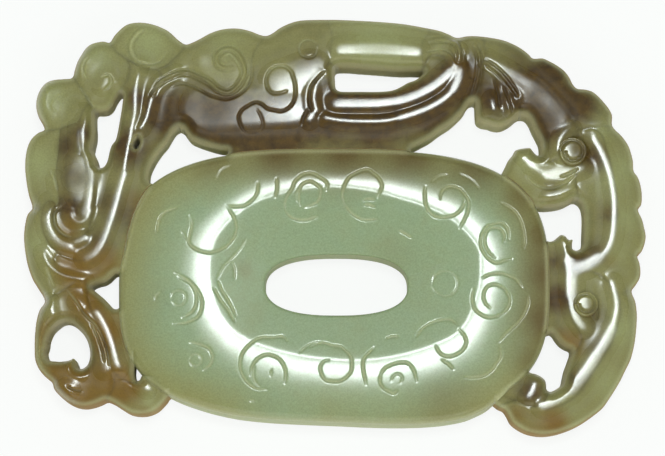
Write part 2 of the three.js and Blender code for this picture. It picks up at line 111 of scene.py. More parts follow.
SPIRAL_CUT_WIDTH = 0.13     # a share of the knob's radius, as the next two
SPIRAL_START = 0.6
SPIRAL_GAIN = 0.24

# Incised lines, and the eased back
SCROLL_CUT_WIDTH = 0.135
SCROLL_CUT_DEPTH = 0.12
LINE_CUT_WIDTH = 0.14
LINE_CUT_DEPTH = 0.17
FAINT_STRENGTH = 0.45
# width of the painted highlight line along the disc's border with the creature
BORDER_HIGHLIGHT_WIDTH = 0.14
EDGE_HIGHLIGHT_WIDTH = 0.26            # the painted highlight line along a free edge
EDGE_HIGHLIGHT_STRENGTH = 0.9
CORD_WIDTH = 0.14
CORD_HEIGHT = 0.08
CORD_SIDE = 0.32
CORD_SIDE_DEPTH = 0.12
BACK_ROUNDING = 0.7
BACK_GROOVE_DEPTH = 0.28
BACK_GROOVE_WIDTH = 0.3

# How far the disc's olive rim reaches inward
DISC_RIM_WIDTH = 6.5

# Points are closest near edges, seams and cuts
FINE_WITHIN = 0.4
MIDDLE_WITHIN = 1.6

# Places in the photograph, in its pixels: the edges of the whole carving and of the disc
PIXELS_ACROSS = (26.5, 121, 548, 644.5)
PIXELS_DOWN = (20.5, 149.5, 417, 430.5)
IMAGE_SIZE = (665, 456)

whole_low, whole_high = (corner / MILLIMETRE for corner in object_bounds())
ring_low, ring_high = (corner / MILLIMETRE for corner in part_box("bi_ring"))
places_across = (whole_low.x, ring_low.x, ring_high.x, whole_high.x)
places_down = (whole_high.y, ring_high.y, ring_low.y, whole_low.y)
pixel_width = (whole_high.x - whole_low.x) / (PIXELS_ACROSS[-1] - PIXELS_ACROSS[0])


# Turns pixels of the photograph into millimetres of the carving

def stretched(values, marks, places):
    values, marks, places = (np.asarray(row, float) for row in (values, marks, places))
    span = np.clip(np.searchsorted(marks, values) - 1, 0, len(marks) - 2)
    share = (values - marks[span]) / (marks[span + 1] - marks[span])
    return places[span] + share * (places[span + 1] - places[span])


def placed(pixels):
    pixels = np.asarray(pixels, float)
    across = stretched(pixels[:, 0], PIXELS_ACROSS, places_across)
    up = stretched(pixels[:, 1], PIXELS_DOWN, places_down)
    return np.stack([across, up], axis=1)


# Outlines: smooth curves through points given in the photograph

def curve_through(points, closed, steps):
    """A centripetal Catmull-Rom curve."""
    if closed:
        padded = np.vstack([points[-1:], points, points[:2]])
    else:
        padded = np.vstack([2 * points[0] - points[1], points, 2 * points[-1] - points[-2]])
    found = []
    shares = np.arange(steps)[:, None] / steps
    for a, b, c, d in zip(padded, padded[1:], padded[2:], padded[3:]):
        t1 = max(np.linalg.norm(b - a), 1e-6) ** 0.5
        t2 = t1 + max(np.linalg.norm(c - b), 1e-6) ** 0.5
        t3 = t2 + max(np.linalg.norm(d - c), 1e-6) ** 0.5
        t = t1 + shares * (t2 - t1)
        ab = a * (t1 - t) / t1 + b * t / t1
        bc = b * (t2 - t) / (t2 - t1) + c * (t - t1) / (t2 - t1)
        cd = c * (t3 - t) / (t3 - t2) + d * (t - t2) / (t3 - t2)
        abc = ab * (t2 - t) / t2 + bc * t / t2
        bcd = bc * (t3 - t) / (t3 - t1) + cd * (t - t1) / (t3 - t1)
        found.append(abc * (t2 - t) / (t2 - t1) + bcd * (t - t1) / (t2 - t1))
    if not closed:
        found.append(points[-1:])
    return np.vstack(found)


OUTLINE_STEPS = 4


def outline(pixels):
    return curve_through(placed(pixels), True, OUTLINE_STEPS)


def circle_outline(centre, radius):
    turn = np.linspace(0, 2 * math.pi, 72, endpoint=False)
    return np.stack([centre[0] + radius * np.cos(turn), centre[1] + radius * np.sin(turn)], axis=1)


# The disc: a rounded oblong that eases inward on the flank where the neck limb leans on it
RING_FULLNESS = 3.1
FLANK_FULLNESS = 2
FLANK_START = 140
FLANK_END = 168
LOWER_BULGE_PIXELS = [      # how far the lower side bulges beyond that, along the disc
    (121, 0), (200, 1), (240, 3), (300, 4.5), (340, 6), (400, 9), (440, 11), (465, 11.5), (485, 9),
    (500, 3), (507, 0),
]
HOLE_LENGTH = 16
HOLE_HEIGHT = 6.9
HOLE_SHIFT_ALONG = 0.28
HOLE_SHIFT_UP = -0.2
HOLE_FULLNESS = 2.5

ring_centre = np.array([(ring_low.x + ring_high.x) / 2, (ring_low.y + ring_high.y) / 2])
hole_centre = ring_centre + np.array([HOLE_SHIFT_ALONG, HOLE_SHIFT_UP])
ring_size = np.array([ring_high.x - ring_low.x, ring_high.y - ring_low.y])
hole_size = np.array([HOLE_LENGTH, HOLE_HEIGHT])


def full_oval(centre, size, fullness, turns):
    across, up = np.cos(turns), np.sin(turns)
    reach = (np.abs(across) ** fullness + np.abs(up) ** fullness) ** (-1 / fullness)
    return centre + np.stack([across * reach, up * reach], axis=-1) * size / 2


def flank_fullness(turns):
    degrees = np.degrees(turns) % 360
    lean = np.where(degrees < 180, np.clip((degrees - FLANK_START) / (FLANK_END - FLANK_START), 0, 1), 0)
    return RING_FULLNESS + (FLANK_FULLNESS - RING_FULLNESS) * lean


oval_turns = np.linspace(0, 2 * math.pi, 320, endpoint=False)
ring_outline = full_oval(ring_centre, ring_size, flank_fullness(oval_turns), oval_turns)
bulge_pixels = np.array(LOWER_BULGE_PIXELS)
bulge_places = placed(bulge_pixels * (1, 0))[:, 0]
bulge = np.interp(ring_outline[:, 0], bulge_places, bulge_pixels[:, 1] * pixel_width)
ring_outline[:, 1] -= bulge * np.clip(-2 * np.sin(oval_turns), 0, 1)
hole_outline = full_oval(hole_centre, hole_size, HOLE_FULLNESS, oval_turns)

EDGE_PIXELS = [
    (187, 45), (180, 41), (170, 32), (160, 27), (150, 24), (140, 23), (130, 24.5), (124, 28), (116, 36),
    (111, 43), (105, 42), (98, 43), (92, 45), (87, 49), (83, 55), (79, 62), (76, 71), (74.5, 77),
    (72, 79), (65, 79.5), (55, 80.5), (48, 83), (43, 88), (39, 96), (37.5, 106), (40, 117), (45, 126),
    (46, 130), (40, 133), (34, 138), (30, 145), (27.5, 156), (27, 168), (28.5, 182), (31, 195), (34.5, 208),
    (30, 214), (27.5, 224), (26.5, 237), (28, 252), (31, 266), (36, 279), (41, 287), (48, 300),
    (43, 308), (40, 318), (38.5, 330), (38, 345), (39, 358), (43, 367), (49, 374), (56, 380),
    (58, 386), (63, 392), (70, 398), (79, 402.5), (88, 404), (97, 402.5), (104, 400), (110, 397.5),
    (117, 400), (125, 405), (134, 410), (144, 411.5), (152, 410.5), (160, 407), (165, 402.5), (169, 398),
    (172, 394), (200, 385), (330, 390), (470, 385), (497, 404), (503, 407), (507, 413), (510, 418.5),
    (517, 424), (527, 428.5), (540, 430.5), (552, 429.5), (565, 426), (577, 421), (590, 413), (600, 405),
    (606, 397), (612, 388), (618, 378), (623, 368), (628, 358), (631, 348), (633, 338), (634.5, 325),
    (635, 312), (633.5, 300), (630, 290), (634, 284), (638, 277), (639, 270), (638, 262), (636, 255),
    (640, 251), (643, 244), (644.5, 236), (643, 227), (641, 219), (637, 209), (640, 205), (641, 195),
    (639.5, 184), (637, 177), (633, 171), (632.5, 162), (630.5, 153), (627.5, 145), (622, 137),
    (612, 126), (612, 116), (609, 109.5), (604, 103), (598, 96.5), (592, 92), (585, 90), (577, 89),
    (573, 85), (569.5, 78), (565, 72), (558, 66.5), (550, 62), (543, 59), (533, 59), (529, 55),
    (522, 49.5), (514, 45), (504, 41), (492, 38.5), (479, 37), (468, 37), (457, 38.5), (449, 35),
    (440, 31.5), (425, 28.5), (405, 25), (385, 23), (360, 21.5), (335, 20.5), (312, 20.5), (299, 21.5),
    (289, 24.5), (280, 29), (273, 34), (267, 36.5), (261, 35.5), (252, 32), (242, 29.5), (232, 29),
    (221, 30.5), (211, 34), (202, 39), (194, 43),
]

# The silhouette runs a little outside those points: at the left, above and below
EDGE_PUSH_LEFT = 1.5
EDGE_MIDDLE = 335
EDGE_STRETCH = 0.012

PIERCED_PIXELS = {
    "leaf_window": [
        (97, 111), (103, 110.5), (109, 109), (113, 105), (116, 99), (118.5, 95), (121, 92.5), (124, 94),
        (123.5, 102), (122, 113), (120.5, 122), (118.5, 133), (116.5, 140), (113, 144.5), (111, 150),
        (109.5, 157), (108, 162), (105, 166.5), (102, 167.5), (99.5, 165.5), (98.5, 161), (96.5, 155),
        (94, 150), (94.5, 145), (96, 138), (96.5, 130), (96, 122),
    ],
    "neck_window": [
        (150, 176), (151, 170), (154, 163), (158, 156), (163, 149), (168, 143), (172, 136), (176, 130),
        (180, 127.5), (184, 129), (188, 134.5), (192, 139), (198, 142), (206, 145), (214, 147.5),
        (222, 149.5), (229, 150.5), (221, 160), (192, 170), (172, 176), (157, 184), (150.5, 181),
    ],
    "foot_gap": [
        (94, 287), (100, 283.5), (106, 282), (111, 279), (115, 275), (118, 273), (122, 274), (124, 290),
        (122, 306), (119, 308.5), (116, 308), (111, 303), (106, 298), (100, 293),
    ],
    "heart_window": [
        (48, 352), (49.5, 346), (50.5, 339), (54, 331), (59, 326), (64, 322.5), (69, 321.5), (75, 323.5),
        (81, 328.5), (86, 334), (90, 341), (92, 348), (92.5, 355), (91, 362), (88, 366), (84, 368),
        (81, 367), (79, 362), (76, 357.5), (73, 359), (66, 360.5), (58, 360.5), (51, 359),
    ],
    "toe_window": [
        (137, 366), (138, 360), (140, 357), (143, 360), (147, 364), (151, 368), (148, 373), (144, 375),
        (142, 379), (139, 379.5), (137, 375),
    ],
    "bar_slot": [
        (336, 68), (345, 66.5), (360, 67.5), (380, 69), (400, 70.5), (415, 70.5), (424, 71.5), (416, 79),
        (408, 82), (402, 85.5), (396, 88.5), (391, 90), (380, 91), (360, 91), (345, 91), (340, 90.5),
        (336.5, 88), (335.5, 80),
    ],
    "paw_window": [
        (411, 150), (420, 144), (430, 138.5), (440, 131), (450, 124.5), (458, 117.5), (464, 111), (468, 104),
        (471, 101.5), (475, 101.5), (476, 112), (477, 119), (481, 122.5), (488, 124), (494, 126),
        (500, 126.5), (507, 124), (513, 120), (517, 116.5), (521, 115), (526, 116), (530, 121), (533, 128),
        (537, 136), (540, 143), (539.5, 154), (536.5, 154.5), (533, 151), (530, 147.5), (525, 147.5),
        (519, 148.5), (515, 150), (512, 155), (508, 160), (505, 166), (502, 172), (499, 176), (490, 182),
        (466, 172), (436, 162),
    ],
    "limb_window": [
        (536, 208), (545, 207.5), (555, 206.5), (563, 204.5), (569, 201.5), (573, 199.5), (577, 200),
        (581, 204), (583, 212), (583, 225), (582.5, 235), (582, 244), (579, 248.5), (575, 250),
        (571.5, 248.5), (571, 244), (571.5, 239), (568, 239.5), (564, 235.5), (560, 234.5), (556, 237.5),
        (552, 240.5), (548, 241), (543, 238), (540, 230), (536, 220),
    ],
    "tail_window": [
        (549, 332), (552, 333.5), (555, 338), (559, 343), (564, 346.5), (569.5, 349.5), (567, 360),
        (564, 368), (562, 376), (560, 383.5), (556, 387), (552, 389.5), (548, 390.5), (545, 388.5),
        (544.5, 384), (543.5, 379.5), (540, 376), (534, 373), (528, 371), (530, 362), (536, 348), (542, 337),
    ],
    "pinhole": [
        (140, 139), (141, 142), (140, 146), (137.5, 149), (135.5, 147), (136.5, 142.5),
    ],
}

# The edge of the shallow hollow in the disc's face
HOLLOW_PIXELS = [
    (480, 267), (479, 252), (472, 240), (462, 229), (447, 217), (425, 207), (400, 199), (375, 192),
    (350, 188),
    (322, 187.5), (295, 191), (268, 198), (250, 206), (239, 214), (226, 226), (216, 240), (211, 257),
    (210, 275),
    (213, 293), (220, 313), (233, 330), (250, 341), (275, 350), (300, 356), (325, 359.5), (350, 361),
    (375, 360), (400, 356), (425, 349), (440, 343), (455, 335), (466, 322), (474, 303), (479, 285),
]

LIMB_SPIRAL_PIXEL = (571, 153)
TAIL_SPIRAL_PIXEL = (583, 305)
LIMB_SPIRAL_RADIUS = 1.6
TAIL_SPIRAL_RADIUS = 1.4

# The carved forms, the ones on top first: crest height, width of the rounding at a free edge,
# width and depth of the roll towards its neighbours, the finish, and the outline
FORMS = [
    ("tail_tip", MIDDLE_CREST, 1.3, 0.8, 0.9, "russet_stone", [
        (531, 368), (540, 374), (546, 382), (546, 392), (543, 400), (536, 406), (526, 405), (514, 400),
        (500, 392), (508, 378), (520, 368)]),
    ("fan_tuft", HIGH_CREST, 1.3, 0.7, 0.45, "russet_stone", [
        (481, 64), (487, 63), (497, 71), (506, 82), (512, 92), (518, 101), (520, 112), (512, 128),
        (500, 134), (484, 134), (474, 126), (475, 104), (479, 88)]),
    ("fore_limb", HIGH_CREST, 2.0, 1.2, 0.12, "russet_stone", [
        (508, 74), (518, 72), (530, 77), (540, 85), (552, 97), (562, 110), (570, 120), (575, 128),
        (566, 134), (558, 145), (556, 158), (549, 163), (541, 166), (539, 158), (534, 142), (524, 130),
        (516, 116), (505, 90), (504, 80)]),
    ("claw_strip", MIDDLE_CREST, 1.1, 0.7, 0.5, "russet_stone", [
        (538, 230), (552, 232), (558, 229), (567, 229), (575, 236), (572, 246), (563, 248), (565, 262),
        (567, 280), (567, 300), (568, 316), (573, 326), (579, 336), (577, 346), (570, 354), (556, 350),
        (538, 340), (530, 290)]),
    ("inner_limb", MIDDLE_CREST, 1.8, 1.1, 0.4, "russet_stone", [
        (576, 133), (590, 129), (600, 136), (605, 150), (609, 164), (611, 178), (614, 192), (615, 206),
        (614, 222), (612, 236), (607, 248), (600, 258), (590, 267), (580, 270), (570, 267), (565, 258),
        (560, 244), (566, 236), (576, 230), (577, 200), (575, 190), (574, 180), (576, 172), (586, 155)]),
    ("paw", MIDDLE_CREST, 1.8, 1.0, 0.6, "olive_stone", [
        (494, 176), (502, 160), (509, 148), (517, 142), (531, 142), (539, 158), (548, 164), (558, 160),
        (566, 168), (574, 174), (588, 178), (588, 190), (580, 206), (560, 214), (530, 214), (512, 195)]),
    ("tail_scroll", MIDDLE_CREST, 1.8, 1.1, 0.5, "olive_stone", [
        (566, 286), (572, 277), (585, 272), (599, 277), (610, 288), (616, 302), (617, 316), (613, 330),
        (608, 344), (600, 357), (592, 369), (584, 381), (576, 393), (564, 402), (549, 408), (538, 406),
        (540, 388), (548, 378), (560, 366), (562, 346), (568, 334), (567, 314)]),
    ("tail_curl", MIDDLE_CREST, 2.2, 1.0, 0.15, "olive_stone", [
        (650, 284), (632, 288), (618, 296), (600, 310), (560, 380), (535, 392), (520, 396), (509, 408),
        (506, 440), (560, 450), (630, 410), (660, 330)]),
    ("spine_lower", MIDDLE_CREST, 2.4, 1.0, 0.1, "olive_stone", [
        (590, 131), (612, 126), (650, 112), (665, 200), (660, 280), (630, 289), (612, 296),
        (598, 290), (588, 278), (588, 262), (598, 250), (600, 220), (598, 170), (592, 145)]),
    ("collar", HIGH_CREST, 1.3, 0.6, 0.3, "russet_stone", [
        (458, 28), (470, 28), (481, 32), (484, 44), (485, 58), (484, 70), (481, 78), (474, 81), (468, 76),
        (466, 62), (461, 50)]),
    ("spine_upper", HIGH_CREST, 2.2, 1.1, 0.15, "russet_stone", [
        (486, 24), (484, 36), (484, 50), (488, 64), (502, 76), (525, 92), (550, 118), (574, 128),
        (590, 131), (612, 126), (650, 112), (610, 40), (540, 20)]),
    ("band_upper", HIGH_CREST, 1.2, 0.8, 0.6, "russet_stone", [
        (325, 72), (331, 64), (345, 78), (380, 80), (408, 76), (424, 68), (427, 60), (434, 56), (441, 57),
        (447, 64), (450, 73), (447, 84), (438, 96), (425, 105), (408, 112), (390, 115.5),
        (360, 117), (335, 117), (314, 115), (309, 106), (310, 94), (316, 81)]),
    ("band_lower", HIGH_CREST, 2.0, 0.9, 0.12, "russet_stone", [
        (311, 113), (304, 122), (301, 134), (300, 160), (360, 160), (411, 158), (450, 136), (468, 120),
        (476, 102), (482, 84), (480, 68), (468, 60), (460, 46), (458, 20), (434, 18), (428, 34),
        (421, 47), (422, 60), (420, 90), (370, 105)]),
    ("top_bar", HIGH_CREST, 1.5, 0.8, 0.1, "olive_stone", [
        (330, 10), (333, 40), (331, 70), (345, 80), (424, 80), (428, 60), (434, 36), (438, 16), (400, 8)]),
    ("neck_curl", HIGH_CREST, 2.2, 0.8, 0.15, "olive_stone", [
        (176, 75), (190, 73), (203, 79), (213, 88), (222, 95.5), (231, 97.5),
        (241, 94.5), (248, 88), (251, 79), (252, 66), (256, 50), (266, 34), (262, 15), (187, 15),
        (186, 46), (178, 57), (170, 65)]),
    ("curl_lobe_top", MIDDLE_CREST, 2.2, 0.7, 0.35, "pale_stone", [
        (111, 43), (106, 20), (150, 5), (194, 20), (187, 46), (179, 56), (170, 65), (158, 70), (146, 69),
        (137, 65), (128, 59), (118, 52)]),
    ("curl_lobe_mid", MIDDLE_CREST, 2.2, 0.7, 0.35, "pale_stone", [
        (74, 77), (60, 60), (85, 30), (108, 35), (112, 43), (119, 52), (128, 60), (131, 68), (129, 80),
        (122, 92), (112, 114), (98, 116), (94, 108), (87, 96), (80, 86)]),
    ("long_tendril", HIGH_CREST, 1.4, 0.9, 0.7, "russet_stone", [
        (122, 56), (137, 62), (148, 68), (158, 70), (163, 77), (157, 88), (151, 98), (150, 106), (147, 116),
        (144, 126), (140, 136), (134, 146), (131, 158), (127, 178), (122, 192), (117, 206), (112, 222),
        (107, 238), (102, 250), (94, 258), (82, 262), (66, 257), (54, 248), (47, 236), (44, 222), (46, 208),
        (51, 202), (58, 205), (55, 216), (58, 228), (65, 237), (76, 241), (86, 238), (92, 228), (95, 214),
        (97, 198), (96, 186), (91, 175), (85, 162), (81, 150), (80, 138), (81, 124), (85, 112), (92, 104),
        (106, 108), (118, 94)]),
    ("curl_lobe_left", MIDDLE_CREST, 2.2, 0.7, 0.35, "pale_stone", [
        (74, 74), (82, 84), (92, 100), (90, 111), (83, 118), (72, 125), (59, 130), (46, 131), (24, 130),
        (24, 80), (56, 66)]),
    ("mane_lock_upper", MIDDLE_CREST, 2.4, 0.8, 0.3, "pale_stone", [
        (46, 128), (60, 126), (61, 140), (60, 155), (58, 172), (60, 190), (60, 206), (46, 210), (34, 208),
        (14, 200), (14, 140)]),
    ("inner_leaf", HIGH_CREST, 1.8, 0.9, 0.4, "russet_stone", [
        (56, 134), (64, 129), (76, 126), (88, 130), (92, 160), (100, 184), (96, 220), (84, 240), (66, 240),
        (54, 224), (56, 204), (58, 172), (58, 140)]),
    ("neck_limb", HIGH_CREST, 1.6, 0.9, 0.3, "russet_stone", [
        (138, 132), (150, 124), (164, 126), (178, 126), (188, 134), (170, 160), (152, 190), (165, 210),
        (165, 290), (118, 292), (94, 289), (87, 283), (75, 279), (66, 275), (58, 268), (58, 258),
        (70, 250), (90, 250), (104, 230), (116, 190), (126, 150)]),
    ("mane_lock_lower", HIGH_CREST, 2.2, 0.8, 0.3, "olive_stone", [
        (30, 206), (48, 206), (56, 230), (62, 255), (75, 276), (79, 281), (70, 288), (60, 294), (48, 300),
        (24, 304), (8, 260), (12, 212)]),
    ("shoulder", HIGH_CREST, 2.4, 0.9, 0.3, "russet_stone", [
        (150, 60), (180, 50), (230, 40), (266, 10), (331, 10), (334, 40), (332, 66), (330, 120), (316, 160),
        (230, 160), (186, 140), (172, 129), (158, 127), (149, 118), (144, 105), (140, 90)]),
    ("foot_leaf", HIGH_CREST, 1.3, 0.9, 0.6, "russet_stone", [
        (92, 286), (91, 300), (97, 316), (103, 328), (108, 340), (111, 352), (114, 366), (121, 376),
        (130, 381), (140, 382), (140, 368), (152, 366), (170, 372), (165, 300), (121, 284)]),
    ("foot_loop", HIGH_CREST, 1.8, 0.9, 0.6, "russet_stone", [
        (48, 300), (60, 294), (70, 288), (79, 281), (94, 284), (104, 316), (116, 350), (118, 378),
        (116, 390), (110, 398), (112, 424), (50, 424), (16, 370), (20, 304)]),
    ("toe_lobe", MIDDLE_CREST, 1.8, 0.8, 0.4, "olive_stone", [
        (110, 398), (112, 376), (130, 374), (140, 368), (152, 366), (165, 375), (184, 395), (178, 430),
        (112, 430)]),
]

# Polished crests of the creature, which catch the light: half the width of the flat top in pixels, the
# length in millimetres over which the stone then bends down, and the line
CREST_PIXELS = [
    # The tendril, its hook and the leaf
    (1.0, 0.5, [(141, 66), (138, 78), (136, 95), (135, 115), (132, 130), (131, 140), (128, 155), (126, 168)]),
    (2.4, 0.8,
    [(125, 175), (121, 188), (117, 203), (113, 217), (108, 232), (103, 245), (96, 255), (88, 260)]),
    (2.2, 0.9, [(51, 204), (48, 215), (49, 227), (54, 238)]),
    (1.0, 1.6, [(54, 238), (62, 245), (70, 248)]),
    (0.6, 0.4, [(178, 74), (167, 80), (158, 88), (154, 96), (151, 108), (148, 120), (143, 130)]),
    (0.7, 0.4, [(77, 112), (79, 127), (79, 145), (81, 152)]),
    (1.4, 0.5, [(86, 114), (84, 126), (84, 140), (87, 153), (91, 165)]),
    (2.2, 0.8, [(91, 165), (92, 178), (91, 192), (89, 205), (86, 214)]),
    (5.0, 2.0, [(80, 165), (80, 195)]),
    (0.6, 0.4, [(92, 212), (88, 221), (81, 224), (75, 221), (72, 215)]),
    (1.4, 0.6, [(78, 243), (87, 239)]),
    (0.1, 0.3, [(45, 254), (50, 265), (60, 274), (70, 278), (88, 281)]),
    # The three lobes and the upper lock
    (0.8, 0.8, [(45, 92), (44, 100), (46, 108)]),
    (0.8, 0.5, [(85, 63), (89, 60)]),
    (0.8, 0.5, [(107, 77), (106, 84), (103, 88)]),
    (0.8, 0.5, [(121, 88), (123, 94)]),
    (0.5, 0.4, [(57, 180), (59, 192)]),
    # The foot
    (1.8, 0.7, [(99, 313), (106, 325), (111, 336), (115, 348), (118, 360), (121, 369)]),
    (1.8, 1.4, [(90, 318), (97, 330), (103, 343), (106, 357), (108, 370)]),
    (0.8, 0.5, [(80, 302), (83, 305)]),
    (0.8, 0.6, [(53, 303), (54, 312), (57, 318)]),
    (0.8, 0.6, [(78, 360), (80, 367), (83, 373)]),
    (1.2, 1.2, [(70, 388), (74, 389)]),
    (1.2, 1.2, [(146, 386), (150, 389)]),
    # The shoulder and the neck curl
    (14.0, 2.0, [(203, 109), (290, 107)]),
    (13.0, 2.0, [(280, 84), (312, 72)]),
    (2.0, 1.6, [(205, 62), (236, 72)]),
    (0.8, 0.4, [(320.5, 73), (315, 79), (310, 86), (307, 94), (306.5, 103), (307, 109)]),
    (0.9, 0.4, [(329.5, 71.5), (323, 77), (318, 83), (315.5, 92), (314.5, 100), (316, 107), (317, 111)]),
    (1.8, 0.5, [(312.5, 116), (310, 121)]),
    # The bands and the bar
    (4.2, 0.5, [(337, 104), (378, 104)]),
    (3.8, 0.5, [(378, 104), (400, 101), (415, 96), (430, 88.5), (440, 81.5), (449, 73)]),
    (1.0, 0.4, [(326, 119.5), (340, 122), (360, 123), (385, 122.5), (400, 119.5)]),
    (1.8, 0.6, [(400, 119.5), (420, 113), (435, 106), (447, 98), (455, 89), (460, 80)]),
    (2.8, 0.8, [(454, 90), (458, 81), (460, 72)]),
    (5.0, 0.5, [(341, 50), (380, 50), (417, 52.5)]),
    (1.0, 0.6, [(450, 72), (456, 62), (458, 52)]),
    # The fan, the fore limb and the paw
    (1.0, 0.4, [(491, 101), (493, 111)]),
    (1.0, 0.4, [(508, 102), (512, 111)]),
    (0.5, 0.4, [(487, 60), (497, 70), (507, 83), (517, 97)]),
    (2.0, 1.1, [(487, 61), (496, 66), (507, 72), (519, 79), (530, 86)]),
    (1.4, 2.0, [(530, 86), (541, 95), (551, 105), (560, 116)]),
    (0.8, 0.5, [(571, 131), (563, 135), (558, 142), (557, 152), (560, 163)]),
    (1.0, 1.2, [(517, 150), (523, 158), (531, 165)]),
    (2.4, 1.0, [(531, 166), (538, 170), (545, 175)]),
    (5.0, 0.8, [(547, 175), (556, 175), (566, 174)]),
    (2.2, 0.8, [(566, 173), (574, 172), (581, 169)]),
    (1.6, 1.5, [(548, 199), (558, 197), (568, 194)]),
    # The inner limb, the claw strip and the tail
    (1.9, 0.8,
    [(593, 139), (599, 149), (604, 160), (608, 172), (611, 186), (613, 200), (613, 215), (612, 232)]),
    (1.8, 0.9, [(612, 232), (609, 245), (603, 255), (594, 262)]),
    (4.2, 1.4, [(596, 260), (585, 267), (574, 270)]),
    (1.2, 0.8, [(563, 243), (565, 252), (567, 260)]),
    (4.6, 1.0, [(568, 262), (570, 272), (570, 284), (570, 296)]),
    (3.0, 0.8, [(570, 296), (571, 308), (574, 318), (581, 328)]),
    (1.4, 0.9, [(610, 283), (613, 294), (615, 306), (613, 318), (610, 330)]),
    (3.4, 1.2, [(610, 330), (605, 340), (600, 348), (594, 357)]),
    (4.4, 1.2, [(594, 357), (587, 368), (578, 380), (568, 391)]),
    (2.8, 1.0, [(568, 391), (558, 399), (546, 405), (540, 407)]),
    (1.7, 0.7, [(533, 384), (530, 392), (526, 397)]),
]


# Incised scrolls on the disc
SCROLL_PIXELS = [
    [(259, 184), (259, 190), (257, 197), (252, 203), (246, 207), (238, 208), (228, 207)],
    [(228, 207), (232, 213), (236, 220), (238, 228), (236, 237), (232, 243), (227, 248), (220, 252),
            (212, 254),
     (205, 253), (197, 250), (191, 244), (191, 240), (193, 232), (194, 225), (192, 217)],
    [(179, 209), (168, 213), (162, 219), (160, 227), (159, 233)],
    [(277.5, 180), (278, 190), (276.5, 198)],
    [(287, 213), (286, 204), (289, 196), (293, 190), (295, 184), (299, 179), (304, 175.5), (312, 174.5),
     (318, 177), (324, 181), (328, 186), (327, 191)],
    [(301, 206), (300, 201), (300, 193), (302, 187), (307, 183.5), (312, 183), (317, 186), (321, 190),
     (321, 197), (318, 203), (313, 206), (306, 208)],
    [(287, 213), (292, 218), (299, 220.5), (308, 220.5), (318, 217)],
    [(345, 205), (343, 197), (344, 190), (346, 184), (350, 178), (356, 174.5), (362, 172), (368, 171),
     (374, 175), (379, 180), (382, 187), (380, 193), (378, 198)],
    [(345, 205), (350, 212), (356, 217), (362, 220), (370, 220.5), (377, 220)],
    [(364, 201), (369, 200), (375, 201)],
    [(365, 206), (370, 206), (375, 208)],
    [(425, 188), (424.5, 198), (426, 208), (431, 215), (438, 218.5), (449, 218), (456, 215), (462, 208),
     (464, 202)],
    [(440, 200), (441, 194), (446, 189), (453, 188), (460, 191), (465, 197), (468, 204), (467, 213),
            (463, 222),
     (459, 229)],
    [(502, 243), (503, 237), (500, 231), (494, 229), (487, 231), (484, 238), (484, 246), (488, 254),
            (494, 259)],
    [(507, 240), (507, 234), (505, 228), (500, 224), (494, 225), (487, 227), (482, 233), (480, 240),
            (480, 248),
     (484, 256), (490, 262), (496, 264), (503, 262), (510, 260)],
    [(500, 204), (508, 208), (515, 214), (519, 221), (522, 232), (523, 242), (522, 249)],
    [(481, 279), (487, 276), (494, 274.5), (502, 275), (508, 277), (515, 281), (520, 288)],
    [(489, 309), (484, 304), (482, 297), (484, 290), (489, 286), (496, 286), (503, 290), (507, 296),
            (508, 303),
     (505, 310), (499, 316)],
    [(472, 290), (471, 300), (473, 309), (479, 315), (487, 318), (496, 317), (503, 313)],
    [(526, 297), (526, 305), (522, 315), (515, 324), (505, 333), (497, 342)],
    [(416, 337), (422, 329), (430, 324), (438, 321), (450, 320.5), (456, 325)],
    [(458, 330), (463, 336), (465, 343), (461, 351), (455, 355), (448, 357), (441, 355), (436, 349),
            (435, 346)],
    [(441, 360), (448, 365), (452, 369)],
    [(464, 377), (472, 377), (480, 376), (489, 371), (495, 363), (499, 356), (498, 347)],
    [(374, 348), (369, 353), (364, 359), (363, 366), (364, 374), (366, 384)],
    [(386, 339), (392, 337), (398, 337)],
    [(380, 376), (384, 369), (391, 365), (398, 363), (406, 363), (411, 367), (414, 373), (416, 381)],
    [(384, 389), (388, 391), (393, 393), (397, 391)],
    [(380, 376), (380, 383), (384, 389)],
    [(311, 347), (318, 344), (325, 343.5), (333, 346), (341, 347), (346, 351), (351, 357), (352, 365),
     (351, 372), (347, 377), (341, 381), (333, 381.5), (326, 380), (322, 374), (321, 367), (324, 362),
     (329, 360)],
    [(288, 341), (284, 337), (276, 338), (263, 338), (256, 341), (249, 347), (244, 354), (242, 362),
            (243, 372),
     (250, 383), (258, 388), (268, 389)],
    [(252, 375), (254, 366), (258, 360), (264, 356), (271, 355), (280, 359), (285, 366), (287, 374),
            (286, 383)],
    [(193, 343), (203, 345), (211, 349), (215, 357), (213, 364), (206, 370)],
    [(178, 274), (190, 281), (197, 288), (203, 298), (204, 307), (201, 316), (195, 321), (186, 324),
            (176, 324)],
    [(181, 278), (192, 284), (198, 294), (198, 306), (193, 314), (185, 318)],
    [(216, 289), (222, 300), (230, 311), (236, 322)],
    [(220, 282), (224, 292), (230, 301), (237, 316)],
    [(399, 231), (405, 234), (411, 238)],
]

# Fine raised cords on the creature
CORD_PIXELS = [
    [(155.5, 95), (158.5, 88), (163, 83), (173, 77.5), (181, 74.5), (190, 74), (200, 78), (211, 84),
            (220, 91.5),
     (229, 94), (236, 90.5), (242, 83), (246, 74), (244, 64), (239, 55), (231, 50), (223, 52), (218, 58),
     (219, 66), (226, 70), (233, 69)],
    [(475, 46), (479, 58), (479, 72), (476, 86), (472, 98)],
    [(485, 64), (495, 71), (503, 79), (510, 88), (516, 97)],
    [(430, 42), (438, 40.5), (448, 41), (455, 44), (459, 52), (459, 62)],
    [(142, 30), (136, 36), (132, 47), (134, 56), (140, 63)],
]

